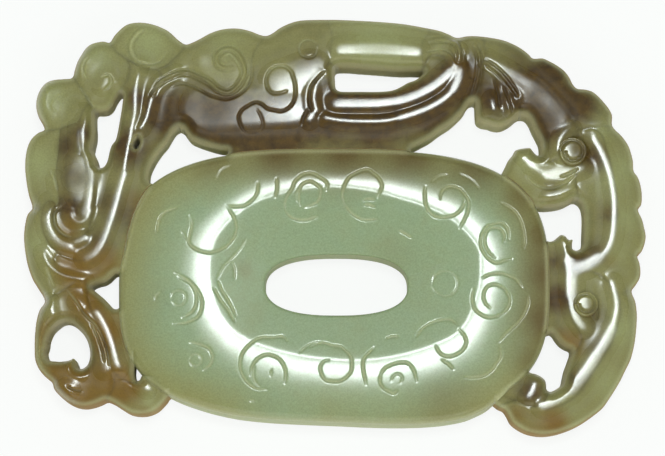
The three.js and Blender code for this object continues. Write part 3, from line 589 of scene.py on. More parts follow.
# Incised lines on the creature
CREATURE_LINE_PIXELS = [
    [(147, 30), (140, 33), (134, 40), (132, 47), (134, 55), (140, 62), (150, 65), (160, 62), (168, 53)],
    [(318, 50), (315, 57), (309, 59), (302, 56), (300, 49), (304, 42), (311, 41), (317, 45)],
    [(427, 53), (435, 51), (445, 51), (452, 56), (456, 64)],
    [(81, 88), (88, 97), (95, 109)],
    [(104, 78), (110, 76), (113, 82), (110, 88), (106, 91)],
    [(90, 57), (86, 62), (84, 70), (88, 80)],
    [(165, 83), (157, 90), (151, 98)],
    [(173, 88), (182, 85), (192, 87), (202, 92), (211, 97), (219, 99.5), (227, 101), (235, 99), (242, 95),
     (249, 88), (253, 78), (253, 66)],
    [(325, 73), (318, 80), (312, 88), (310, 97), (310.5, 106), (312, 112)],
    [(308, 112), (305, 118), (302.5, 126)],
    [(287, 93), (280, 95), (274, 95), (269, 91), (267, 84), (268, 77), (272, 71), (278, 68), (285, 68),
            (291, 72),
     (294, 79), (296, 88), (296, 97), (294, 104), (289, 110), (282, 113), (275, 112), (268, 110), (263, 106),
     (257, 104), (250, 107), (243, 112), (240, 118), (241, 125), (244, 131), (250, 135), (257, 135)],
    [(493, 80), (497, 94), (499, 110)],
    [(502, 86), (508, 102), (512, 116)],
    [(64, 210), (58, 213), (57, 222), (60, 230), (67, 236), (74, 238)],
    [(53, 172), (57, 182), (60, 192)],
    [(49, 268), (53, 278), (57, 288)],
    [(95, 325), (100, 335), (104, 345), (107, 355), (108, 362)],
    [(71, 292), (80, 303), (88, 315), (100, 327), (107, 340), (111, 352), (113, 365)],
    [(71, 386), (78, 390), (86, 391)],
    [(525, 177), (535, 186), (548, 190), (562, 185), (574, 176)],
    [(560, 178), (568, 175), (576, 170)],
    [(594, 307), (595, 313), (594, 320)],
]

FAINT_LINE_PIXELS = [
    [(257, 135), (262, 132), (264, 126), (262, 118), (258, 111)],
    [(244, 82), (242, 73), (237, 63), (230, 56), (226, 60), (227, 65)],
    [(61, 96), (56, 100), (54, 108), (58, 114)],
]

# Shallower scrolls on the disc, and the line that follows its left edge
FAINT_SCROLL_PIXELS = [
    [(150, 187), (146, 195), (142, 203), (137, 212), (134, 222), (131, 233), (128, 245), (126, 255)],
    [(184, 233), (189, 241)],
    [(218, 181), (223, 171), (232, 167)],
    [(247, 240), (240, 251), (232, 260), (224, 269), (219, 280)],
    [(233, 262), (236, 270), (236, 280)],
    [(431, 183), (438, 178), (447, 176)],
    [(459, 175), (468, 179), (475, 185), (478, 190)],
    [(432, 284), (435, 275.5), (444, 271.5), (453.5, 275), (457, 284), (453.5, 293), (444.5, 296.5),
     (436, 293), (432, 287)],
    [(251, 400), (257, 400)],
    [(256, 366), (255, 375), (257, 382), (262, 387)],
    [(391, 381), (393, 376), (398, 374), (402, 378), (400, 383)],
    [(300, 190), (297, 196), (298, 203)],
    [(273, 370), (272, 376)],
    [(192, 360), (195, 355), (201, 355), (204, 360), (201, 365), (195, 365), (192, 361)],
    [(174, 299), (176, 293), (181, 291.5), (187, 294), (188, 300), (185, 305), (179, 306), (174.5, 302)],
    [(158, 301), (159, 296), (163, 292)],
    [(505, 177), (515, 183), (525, 193), (534, 209)],
    [(300, 353), (310, 345), (321, 342)],
]

# Where the stone's colour changes: middle and size in pixels, and how much
BROWN_SPOTS = [
    (185, 118, 36, 1.0), (232, 125, 46, 1.0), (280, 130, 44, 1.0), (330, 110, 40, 1.0), (380, 116, 46, 1.0),
    (425, 108, 38, 1.0), (455, 84, 30, 0.9), (310, 64, 20, 0.4), (160, 112, 24, 0.9),
    (138, 100, 14, 0.8), (130, 150, 26, 0.9), (112, 205, 20, 0.5), (100, 245, 22, 0.6), (74, 262, 20, 0.3),
    (76, 175, 20, 0.5), (72, 210, 22, 0.7), (86, 135, 14, 0.7), (138, 220, 26, 0.5), (68, 148, 18, 0.6),
    (92, 312, 18, 0.5),
    (108, 345, 18, 0.6), (98, 378, 26, 0.5), (74, 385, 22, 0.4), (130, 385, 16, 0.3),
    (470, 72, 20, 0.6), (492, 98, 24, 0.9), (520, 95, 30, 0.9), (545, 128, 26, 1.0), (560, 105, 26, 0.9),
    (545, 80, 26, 0.9), (580, 108, 22, 0.8), (515, 60, 18, 0.2),
    (580, 150, 20, 0.5), (592, 160, 18, 0.7), (608, 215, 14, 0.5), (592, 256, 18, 0.6), (572, 265, 16, 0.8),
    (556, 300, 20, 0.9), (592, 316, 20, 0.5), (592, 345, 22, 0.6), (572, 378, 22, 0.6), (528, 392, 18, 0.7),
    (552, 350, 16, 0.6), (550, 190, 16, 0.4), (551, 262, 14, 0.6), (554, 335, 14, 0.4),
]
AMBER_SPOTS = [
    (75, 268, 32, 1.0), (90, 300, 32, 1.0), (85, 392, 36, 1.0), (110, 332, 32, 1.0), (52, 335, 28, 0.8),
    (130, 390, 28, 0.7), (72, 228, 20, 0.8), (108, 262, 26, 0.9), (120, 380, 28, 0.9), (565, 345, 26, 0.9),
    (62, 370, 24, 0.8), (135, 200, 20, 0.5), (550, 205, 16, 0.4), (608, 262, 18, 0.4),
    (550, 422, 26, 0.9), (515, 414, 20, 0.7), (455, 66, 22, 0.4), (520, 60, 20, 0.3), (400, 130, 26, 0.4),
    (85, 408, 12, 0.9), (148, 416, 12, 0.9), (530, 434, 12, 1.0), (556, 434, 14, 1.0), (590, 422, 12, 0.9),
]
PALE_SPOTS = [
    (150, 42, 28, 1.0), (98, 58, 22, 0.8), (52, 100, 24, 0.9), (40, 165, 26, 0.9), (36, 245, 18, 0.6),
    (228, 42, 26, 0.6), (380, 42, 50, 0.9), (440, 45, 16, 0.4), (46, 330, 14, 0.5), (525, 165, 16, 0.5),
    (620, 250, 14, 0.4), (560, 418, 24, 0.2), (150, 402, 14, 0.5),
    (606, 186, 22, 0.8), (620, 170, 20, 0.8), (600, 130, 18, 0.6), (624, 220, 20, 0.7), (618, 330, 24, 0.8),
    (604, 382, 22, 0.6),
]
MATTE_SPOTS = [
    (215, 108, 34, 1.0), (258, 104, 26, 0.4), (380, 50, 34, 0.35), (80, 180, 16, 0.9),
    (515, 78, 16, 0.4), (538, 94, 18, 0.8), (556, 112, 18, 0.8),
    (225, 66, 26, 1.4), (146, 44, 24, 0.9), (100, 66, 24, 0.8), (58, 104, 22, 0.8),
]
DISC_BROWN_SPOTS = [
    (215, 158, 30, 0.6), (280, 152, 40, 1.0), (345, 150, 44, 1.0), (410, 154, 40, 1.0), (475, 166, 36, 0.8),
    (520, 196, 26, 0.6), (546, 235, 32, 0.9), (546, 275, 34, 1.0), (544, 320, 34, 1.0), (530, 360, 28, 0.6),
    (440, 400, 40, 0.3),
]
DISC_GREEN_SPOTS = [(290, 412, 60, 0.7), (370, 412, 60, 0.6), (480, 190, 30, 0.4)]
DISC_AMBER_SPOTS = [(244, 270, 12, 0.9), (395, 256, 30, 0.5), (160, 300, 20, 0.3), (470, 390, 30, 0.3)]


# The lattice of surface points

margin = LATTICE_MARGIN
count_across = int((whole_high.x - whole_low.x + 2 * margin) / GRAIN) + 1
count_up = int((whole_high.y - whole_low.y + 2 * margin) / GRAIN) + 1
line_x = whole_low.x - margin + np.arange(count_across) * GRAIN
line_y = whole_low.y - margin + np.arange(count_up) * GRAIN
grid_x, grid_y = np.meshgrid(line_x, line_y)


def window_round(low, high, reach):
    """The lattice rows and columns within reach of a stretch."""
    first_column = max(int((low[0] - reach - line_x[0]) / GRAIN), 0)
    last_column = min(int((high[0] + reach - line_x[0]) / GRAIN) + 2, count_across)
    first_row = max(int((low[1] - reach - line_y[0]) / GRAIN), 0)
    last_row = min(int((high[1] + reach - line_y[0]) / GRAIN) + 2, count_up)
    return slice(first_row, max(last_row, first_row)), slice(first_column, max(last_column, first_column))


def nearest_field(path, reach, closed, weights=None):
    """Distance to a path, up to reach, and the weight of the path's nearest point."""
    distance = np.full(grid_x.shape, reach)
    weight = np.zeros(grid_x.shape)
    ends = np.roll(path, -1, axis=0) if closed else path[1:]
    starts = path if closed else path[:-1]
    for number, (start, end) in enumerate(zip(starts, ends)):
        patch = window_round(np.minimum(start, end), np.maximum(start, end), reach)
        along = end - start
        span = max(along @ along, 1e-9)
        from_x, from_y = grid_x[patch] - start[0], grid_y[patch] - start[1]
        share = np.clip((from_x * along[0] + from_y * along[1]) / span, 0, 1)
        away = np.hypot(from_x - share * along[0], from_y - share * along[1])
        nearer = away < distance[patch]
        distance[patch] = np.where(nearer, away, distance[patch])
        if weights is not None:
            here = weights[number] + share * (weights[number + 1] - weights[number])
            weight[patch] = np.where(nearer, here, weight[patch])
    return distance, weight


def inside_of(path):
    """True at the lattice points inside a closed path."""
    inside = np.zeros(grid_x.shape, bool)
    starts, ends = path, np.roll(path, -1, axis=0)
    for row, y in enumerate(line_y):
        crossing = (starts[:, 1] > y) != (ends[:, 1] > y)
        if not crossing.any():
            continue
        a, b = starts[crossing], ends[crossing]
        at = np.sort(a[:, 0] + (y - a[:, 1]) / (b[:, 1] - a[:, 1]) * (b[:, 0] - a[:, 0]))
        inside[row] = np.searchsorted(at, line_x) % 2 == 1
    return inside


def depth_in(path, reach=REACH):
    """Distance inside a closed path, negative outside."""
    distance, _ = nearest_field(path, reach, True)
    return np.where(inside_of(path), distance, -distance)


# A quarter round: 0 at an edge, 1 where the rounding ends

def rounded(depth, width):
    share = np.clip(depth / width, 0, 1)
    return np.sqrt(1 - (1 - share) ** 2)


def eased(share):
    share = np.clip(share, 0, 1)
    return share * share * (3 - 2 * share)


STROKE_STEPS = 4
STROKE_FADE = 0.12      # share of a line over which it starts and ends
LINE_REACH = 1.2


def strokes(tables):
    """Distance to the nearest of many lines, and how strong that line is there."""
    distance = np.full(grid_x.shape, LINE_REACH)
    strength = np.zeros(grid_x.shape)
    for table_strength, pixel_lines in tables:
        for pixels in pixel_lines:
            path = curve_through(placed(pixels), False, STROKE_STEPS)
            shares = np.linspace(0, 1, len(path))
            fade = eased(np.minimum(shares, 1 - shares) / STROKE_FADE) * 0.75 + 0.25
            away, weight = nearest_field(path, LINE_REACH, False, fade)
            nearer = away < distance
            distance = np.where(nearer, away, distance)
            strength = np.where(nearer, weight * table_strength, strength)
    return distance, strength


def spots(table):
    """Soft spots of colour, laid over each other."""
    left = np.ones(grid_x.shape)
    for x, y, size, amount in table:
        centre = placed([(x, y)])[0]
        away = np.hypot(grid_x - centre[0], grid_y - centre[1]) / (size * pixel_width)
        left *= 1 - amount * np.exp(-away ** 2 * 1.6)
    return 1 - left


edge_pixels = np.array(EDGE_PIXELS, float)
edge_pixels[:, 0] -= EDGE_PUSH_LEFT * np.clip((EDGE_MIDDLE - edge_pixels[:, 0]) / EDGE_MIDDLE, 0, 1)
edge_pixels[:, 1] += EDGE_STRETCH * (edge_pixels[:, 1] - IMAGE_SIZE[1] / 2)
edge_depth = depth_in(outline(edge_pixels))
window_depth = np.full(grid_x.shape, REACH)
for pixels in PIERCED_PIXELS.values():
    window_depth = np.minimum(window_depth, -depth_in(outline(pixels)))
ring_depth = depth_in(ring_outline, DISC_REACH)
hole_depth = -depth_in(hole_outline)
hollow_depth = depth_in(outline(HOLLOW_PIXELS), DISC_REACH)
limb_spiral_centre = placed([LIMB_SPIRAL_PIXEL])[0]
tail_spiral_centre = placed([TAIL_SPIRAL_PIXEL])[0]
limb_spiral_depth = depth_in(circle_outline(limb_spiral_centre, LIMB_SPIRAL_RADIUS))
tail_spiral_depth = depth_in(circle_outline(tail_spiral_centre, TAIL_SPIRAL_RADIUS))
spiral_depth = np.maximum(limb_spiral_depth, tail_spiral_depth)
free_depth = np.minimum(edge_depth, window_depth)

# How far each point lies inside its own form. What no outline covers goes to the nearest form.
form_depths = [depth_in(outline(form[-1])) for form in FORMS]
owned_depths = []
above = np.maximum(ring_depth, spiral_depth)
for number, own in enumerate(form_depths):
    higher = np.full(grid_x.shape, -REACH)
    below = np.full(grid_x.shape, -REACH)
    for other in form_depths[:number]:
        higher = np.maximum(higher, other)
    for other in form_depths[number + 1:]:
        below = np.maximum(below, other)
    covered = np.minimum(-higher, own)
    left_over = np.minimum(np.minimum(-higher, -below), np.minimum(own - higher, own - below))
    owned_depths.append(np.minimum(np.maximum(covered, left_over), -above))


def troughs():
    """The fine trough along each form's border, as each form sees it."""
    marked = np.maximum(DISC_TROUGH_SHARE * np.exp(-(ring_depth / TROUGH_WIDTH) ** 2),
                        np.exp(-(spiral_depth / TROUGH_WIDTH) ** 2))
    found = []
    for form, own in zip(FORMS, form_depths):
        strength = min(form[4] / FULL_TROUGH_ROLL, 1)
        marked = np.maximum(marked, strength * np.exp(-(own / TROUGH_WIDTH) ** 2))
        found.append(marked)
    return found


# Incised lines: how deep the cut is at each point
scroll_distance, scroll_strength = strokes([(1, SCROLL_PIXELS), (FAINT_STRENGTH, FAINT_SCROLL_PIXELS)])
line_distance, line_strength = strokes([(1, CREATURE_LINE_PIXELS), (FAINT_STRENGTH, FAINT_LINE_PIXELS)])
cord_distance, cord_strength = strokes([(1, CORD_PIXELS)])
scroll_cut = scroll_strength * np.exp(-(scroll_distance / SCROLL_CUT_WIDTH) ** 2)
line_cut = line_strength * np.exp(-(line_distance / LINE_CUT_WIDTH) ** 2)
cord = cord_strength * np.exp(-(cord_distance / CORD_WIDTH) ** 2)
beside_cord = cord_strength * np.exp(-((cord_distance - CORD_SIDE) / LINE_CUT_WIDTH) ** 2)

brown = spots(BROWN_SPOTS)
amber = spots(AMBER_SPOTS)
pale = spots(PALE_SPOTS)


# Heights

def softened(field, width):
    """The field blurred over a width, by three running means."""
    reach = max(round(width / GRAIN - 0.5), 1)
    for axis in (0, 1) * 3:
        ends = [(0, 0), (0, 0)]
        ends[axis] = (reach + 1, reach)
        total = np.cumsum(np.pad(field, ends, mode="edge"), axis=axis)
        span = 2 * reach + 1
        last = np.take(total, np.arange(span, total.shape[axis]), axis=axis)
        first = np.take(total, np.arange(total.shape[axis] - span), axis=axis)
        field = (last - first) / span
    return field


def level_map(column):
    """One of the columns of FORMS, spread over the creature and blended from form to form."""
    values = np.asarray([form[column] for form in FORMS])[owner]
    return softened(values * on_creature,
            LEVEL_SOFTNESS) / np.maximum(softened(on_creature, LEVEL_SOFTNESS), 1e-3)


def crown_drop():
    """How far the stone has fallen away from the nearest polished crest, and how far off that crest is."""
    drop = np.full(grid_x.shape, CROWN_LIMIT)
    away = np.full(grid_x.shape, CREST_REACH)
    for half_width, bend, pixels in CREST_PIXELS:
        path = curve_through(placed(pixels), False, STROKE_STEPS)
        distance, _ = nearest_field(path, CREST_REACH, False)
        half = half_width * pixel_width
        outside = np.maximum(distance - half, 0)
        fallen = CROWN_SLOPE * (np.hypot(outside, bend) - bend)
        fallen = CROWN_LIMIT * (1 - np.exp(-fallen / CROWN_LIMIT))
        drop = np.minimum(drop, fallen + PATCH_DOME * np.minimum(distance, half) ** 2)
        away = np.minimum(away, outside)
    crisp = softened(drop, CROWN_SOFTNESS)
    smooth = softened(drop, SETTLED_SOFTNESS)
    return crisp + (smooth - crisp) * softened(eased(away / CROWN_SETTLING), SETTLED_SOFTNESS), away


def turn_length(degrees):
    """How soon the disc's face turns down outside the hollow, in this direction."""
    lengths = np.array(TURN_LENGTHS)
    step = 360 / len(lengths)
    before = np.floor(degrees / step).astype(int)
    share = eased(degrees / step - before)
    return lengths[before % len(lengths)] * (1 - share) + lengths[(before + 1) % len(lengths)] * share


def disc_height():
    """The disc's face: convex from the rim to the edge of the hollow, then a gentle funnel to the hole."""
    out = np.maximum(-hollow_depth, 0)
    from_centre = np.stack([grid_x - ring_centre[0], grid_y - ring_centre[1]])
    across, up = from_centre / np.linalg.norm(from_centre, axis=0)
    climb = CREST_SLOPE + CREST_SLOPE_BELOW * np.maximum(-up, 0) ** 2
    length = turn_length(np.degrees(np.arctan2(up, across)) % 360)
    convex = climb * out - CREST_TURN * (out - length * (1 - np.exp(-out / length)))
    soft = np.hypot(hollow_depth, HOLLOW_SOFTNESS) - HOLLOW_SOFTNESS
    funnel = np.where(hollow_depth > 0, HOLLOW_SLOPE * soft, 0)
    face = DISH_EDGE_HEIGHT + convex - funnel
    lip = HOLE_ROUNDING * (1 - rounded(hole_depth, HOLE_ROUNDING))
    rim = rounded(np.maximum(ring_depth, free_depth), DISC_EDGE_ROUNDING)
    trough = TROUGH_DEPTH * np.exp(-(ring_depth / TROUGH_WIDTH) ** 2)
    return RING_WALL + (face - RING_WALL) * rim - lip - trough - SCROLL_CUT_DEPTH * scroll_cut


def back_height(free, seam):
    lift = BACK_ROUNDING * (1 - rounded(free, BACK_ROUNDING))
    groove = BACK_GROOVE_DEPTH * np.exp(-(seam / BACK_GROOVE_WIDTH) ** 2)
    return np.maximum(lift, groove)


crown, off_crest = crown_drop()
matte = np.maximum(spots(MATTE_SPOTS), DULLEST * eased((off_crest - DULL_FROM) / DULL_OVER))
trough_marks = troughs()
owner = np.argmax(owned_depths, axis=0)
on_creature = (np.max(owned_depths, axis=0) > 0).astype(float)
crest_level = level_map(1)
edge_width = EDGE_SHARE * level_map(2) * (1 - PINHOLE_SHARE * spots(PINHOLE_SPOT))
edge_climb = rounded(free_depth, np.maximum(edge_width, GRAIN))


def creature_height():
    """Each form rolls down over its lower neighbours, and runs level up to the higher ones."""
    sunk = np.zeros(grid_x.shape)
    for number, (form, own, trough) in enumerate(zip(FORMS, form_depths, trough_marks)):
        roll = ROLL_SHARE * form[4] * (1 - rounded(own, form[3]))
        sunk = np.where(owner == number, roll + TROUGH_DEPTH * trough, sunk)
    sunk = softened(sunk * on_creature, SEAM_SOFTNESS) / np.maximum(softened(on_creature, SEAM_SOFTNESS),
            1e-3)
    sunk *= eased(off_crest / CREST_KEEPS) ** 2 * (0.35 + 0.65 * edge_climb)
    top = crest_level - crown - sunk
    incised = LINE_CUT_DEPTH * line_cut + CORD_SIDE_DEPTH * beside_cord - CORD_HEIGHT * cord
    return EDGE_HEIGHT + (top - EDGE_HEIGHT) * edge_climb - incised


def spiral_height(centre, radius, depth):
    """A small dome inside a raised turn."""
    away = np.hypot(grid_x - centre[0], grid_y - centre[1]) / radius
    turn = np.arctan2(grid_y - centre[1], grid_x - centre[0]) / (2 * math.pi)
    groove = SPIRAL_START + SPIRAL_GAIN * (turn + 0.5)
    cut = SPIRAL_CUT * np.exp(-((away - groove) / SPIRAL_CUT_WIDTH) ** 2)
    return HIGH_CREST - SPIRAL_DOME * away ** 2 / 2 - cut - SPIRAL_ROLL * (1 - rounded(depth, 0.5))


# Meshes

def trimmed_cells(depth):
    """Lattice cells trimmed to where depth is above 0: points, whole cells, cut cells and free edges."""
    inside = depth > 0
    numbers = np.full(depth.shape, -1)
    rows, columns = np.nonzero(inside)
    numbers[rows, columns] = np.arange(len(rows))
    sources = [(rows, columns, rows, columns, np.zeros(len(rows)))]
    total = len(rows)

    def crossings(row_step, column_step):
        nonlocal total
        first = inside[:inside.shape[0] - row_step, :inside.shape[1] - column_step]
        second = inside[row_step:, column_step:]
        at_rows, at_columns = np.nonzero(first != second)
        found = {}
        near = depth[at_rows, at_columns]
        far = depth[at_rows + row_step, at_columns + column_step]
        sources.append((at_rows, at_columns, at_rows + row_step, at_columns + column_step,
                near / (near - far)))
        for number, key in enumerate(zip(at_rows.tolist(), at_columns.tolist())):
            found[key] = total + number
        total += len(at_rows)
        return found

    level = crossings(0, 1)
    upright = crossings(1, 0)
    whole = inside[:-1, :-1] & inside[:-1, 1:] & inside[1:, 1:] & inside[1:, :-1]
    some = inside[:-1, :-1] | inside[:-1, 1:] | inside[1:, 1:] | inside[1:, :-1]
    kept = np.zeros(inside.shape, bool)
    cut = []
    free = []
    for row, column in zip(*(side.tolist() for side in np.nonzero(some & ~whole))):
        corners = [(row, column), (row, column + 1), (row + 1, column + 1), (row + 1, column)]
        sides = [level.get((row, column)), upright.get((row, column + 1)),
                 level.get((row + 1, column)), upright.get((row, column))]
        shape = []
        for corner, side in zip(corners, sides):
            if inside[corner]:
                kept[corner] = True
                shape.append((int(numbers[corner]), False))
            if side is not None:
                shape.append((side, True))
        cut.append([point for point, _ in shape])
        for here, following in zip(shape, shape[1:] + shape[:1]):
            if here[1] and following[1]:
                free.append((here[0], following[0]))
    return numbers, sources, total, whole, kept, cut, free


def sampled(field, sources):
    return np.concatenate([
        field[r0, c0] * (1 - share) + field[r1, c1] * share for r0, c0, r1, c1, share in sources
    ])


def facing(field, sources, up):
    """The direction in which a surface of this height faces: up on the face, down on the back, level on a wall."""
    slope_y, slope_x = np.gradient(field, GRAIN)
    x, y = sampled(slope_x, sources), sampled(slope_y, sources)
    directions = np.stack([-x, -y, np.full(len(x), up)], axis=1) * (up if up else 1)
    return directions / np.maximum(np.linalg.norm(directions, axis=1, keepdims=True), 1e-9)


def joined_cells(numbers, whole, kept, largest):
    """Whole cells joined into squares no larger than allowed, with each point kept that a neighbour uses."""
    waiting = whole.copy()
    kept = kept.copy()
    found = []
    for size in BLOCK_SIZES:
        rows, columns = whole.shape[0] // size, whole.shape[1] // size
        fit = (waiting & (largest >= size))[:rows * size, :columns * size]
        fit = fit.reshape(rows, size, columns, size).all(axis=(1, 3))
        waiting[:rows * size, :columns * size] &= ~fit.repeat(size, axis=0).repeat(size, axis=1)
        at_rows, at_columns = (side * size for side in np.nonzero(fit))
        for row_step, column_step in ((0, 0), (0, size), (size, size), (size, 0)):
            kept[at_rows + row_step, at_columns + column_step] = True
        found.append((size, at_rows, at_columns))
    faces = []
    for size, at_rows, at_columns in found:
        steps = np.arange(size)
        still, full = np.zeros(size, int), np.full(size, size)
        round_rows = np.concatenate([still, steps, full, size - steps])
        round_columns = np.concatenate([steps, full, size - steps, still])
        all_rows = at_rows[:, None] + round_rows
        all_columns = at_columns[:, None] + round_columns
        for points, used in zip(numbers[all_rows, all_columns], kept[all_rows, all_columns]):
            faces.append(points[used].tolist())
    return faces


def stone_piece(name, depth, height, back, fields, calm):
    """A closed piece between its face and its back, within depth above 0. Where calm is small, its face is finer."""
    numbers, sources, total, whole, kept, cut, free = trimmed_cells(depth)
    calm = np.minimum(calm, depth)[:-1, :-1]
    face_size = np.select([calm < FINE_WITHIN, calm < MIDDLE_WITHIN], [1, 2], 4)
    back_size = np.where(calm < MIDDLE_WITHIN, 2, 8)
    face_cells = joined_cells(numbers, whole, kept, face_size)
    back_cells = joined_cells(numbers, whole, kept, back_size)

    x, y = sampled(grid_x, sources), sampled(grid_y, sources)
    top = np.stack([x, y, sampled(height, sources)], axis=1)
    bottom = np.stack([x, y, sampled(back, sources)], axis=1)
    faces = face_cells + cut
    faces += [[point + total for point in reversed(cell)] for cell in back_cells + cut]
    faces += [[to, start, start + total, to + total] for start, to in free]

    corners = np.concatenate([np.asarray(face) for face in faces])
    normals = np.vstack([facing(height, sources, 1.0), facing(back, sources, -1.0)])[corners]
    walls = facing(depth, sources, 0.0)
    normals[len(corners) - 4 * len(free):] = walls[corners[len(corners) - 4 * len(free):] % total]
    used = np.zeros(2 * total, bool)
    used[corners] = True
    renumbered = (np.cumsum(used) - 1).tolist()
    points = np.vstack([top, bottom])[used] * MILLIMETRE
    faces = [[renumbered[point] for point in face] for face in faces]

    mesh = bpy.data.meshes.new(name)
    mesh.from_pydata(points.tolist(), [], faces)
    mesh.polygons.foreach_set("use_smooth", [True] * len(mesh.polygons))
    mesh.normals_split_custom_set(normals.tolist())
    for field_name, field in fields.items():
        values = np.tile(sampled(field, sources), 2)[used]
        mesh.attributes.new(field_name, "FLOAT", "POINT").data.foreach_set("value", values.astype(np.float32))
    piece = bpy.data.objects.new(name, mesh)
    bpy.context.scene.collection.objects.link(piece)
    return piece


# Finishes

def node_group(name, inputs, outputs):
    group = bpy.data.node_groups.new(name, "ShaderNodeTree")
    for socket_name, kind, value in inputs:
        socket = group.interface.new_socket(name=socket_name, in_out="INPUT", socket_type=kind)
        socket.default_value = value
    for socket_name, kind in outputs:
        group.interface.new_socket(name=socket_name, in_out="OUTPUT", socket_type=kind)
    return group, group.nodes.new("NodeGroupInput"), group.nodes.new("NodeGroupOutput")


def noise(tree, scale, detail, roughness=0.5, distortion=0.0):
    place = tree.nodes.new("ShaderNodeTexCoord")
    texture = tree.nodes.new("ShaderNodeTexNoise")
    texture.inputs["Scale"].default_value = scale
    texture.inputs["Detail"].default_value = detail
    texture.inputs["Roughness"].default_value = roughness
    texture.inputs["Distortion"].default_value = distortion
    tree.links.new(place.outputs["Object"], texture.inputs["Vector"])
    return texture.outputs["Fac"]


def attribute(tree, name):
    node = tree.nodes.new("ShaderNodeAttribute")
    node.attribute_name = name
    return node.outputs["Fac"]


def computed(tree, operation, first, second=None, clamp=False):
    node = tree.nodes.new("ShaderNodeMath")
    node.operation = operation
    node.use_clamp = clamp
    for socket, value in zip(node.inputs, (first, second)):
        if isinstance(value, (int, float)):
            socket.default_value = value
        elif value:
            tree.links.new(value, socket)
    return node.outputs[0]


def remapped(tree, value, low, high, to_low, to_high):
    node = tree.nodes.new("ShaderNodeMapRange")
    for socket, number in zip(("From Min", "From Max", "To Min", "To Max"), (low, high, to_low, to_high)):
        node.inputs[socket].default_value = number
    tree.links.new(value, node.inputs["Value"])
    return node.outputs["Result"]


def mixed(tree, share, first, second):
    node = tree.nodes.new("ShaderNodeMix")
    node.data_type = "RGBA"
    if isinstance(share, (int, float)):
        node.inputs[0].default_value = share
    else:
        tree.links.new(share, node.inputs[0])
    for socket, colour in ((node.inputs[6], first), (node.inputs[7], second)):
        if isinstance(colour, tuple):
            socket.default_value = colour
        else:
            tree.links.new(colour, socket)
    return node.outputs[2]


def multiplied(tree, first, second):
    product = mixed(tree, 1.0, first, second)
    product.node.blend_type = "MULTIPLY"
    return product


def written(hex_colour):
    """A colour written as in a paint chart, turned into the linear values that the shader wants."""
    channels = [int(hex_colour[start:start + 2], 16) / 255 for start in (0, 2, 4)]
    linear = [c / 12.92 if c <= 0.04045 else ((c + 0.055) / 1.055) ** 2.4 for c in channels]
    return (*linear, 1)


CELADON = written("93a884")
CELADON_CLOUD = written("9aac85")
DISC_RIM = written("958e4c")
OLIVE = written("8b8956")
PALE_OLIVE = written("9ca16e")
BROWN = written("58410c")
DEEP_BROWN = written("3c2a08")
AMBER = written("7c601c")
CUT_PALE = written("c6c89c")
# Wall colours, lightened as painted bounce light from the floor and through the stone
LIT_WALL_TAN = written("c2be92")
LIT_WALL_BROWN = written("a68557")
LIT_WALL_GREEN = written("bcc49a")
WINDOW_LIGHT_TAN = written("dad8b0")
WINDOW_LIGHT_GREEN = written("ccd8a8")
GRAIN_DARK = (0.88, 0.87, 0.84, 1)
GRAIN_LIGHT = (1.1, 1.11, 1.14, 1)


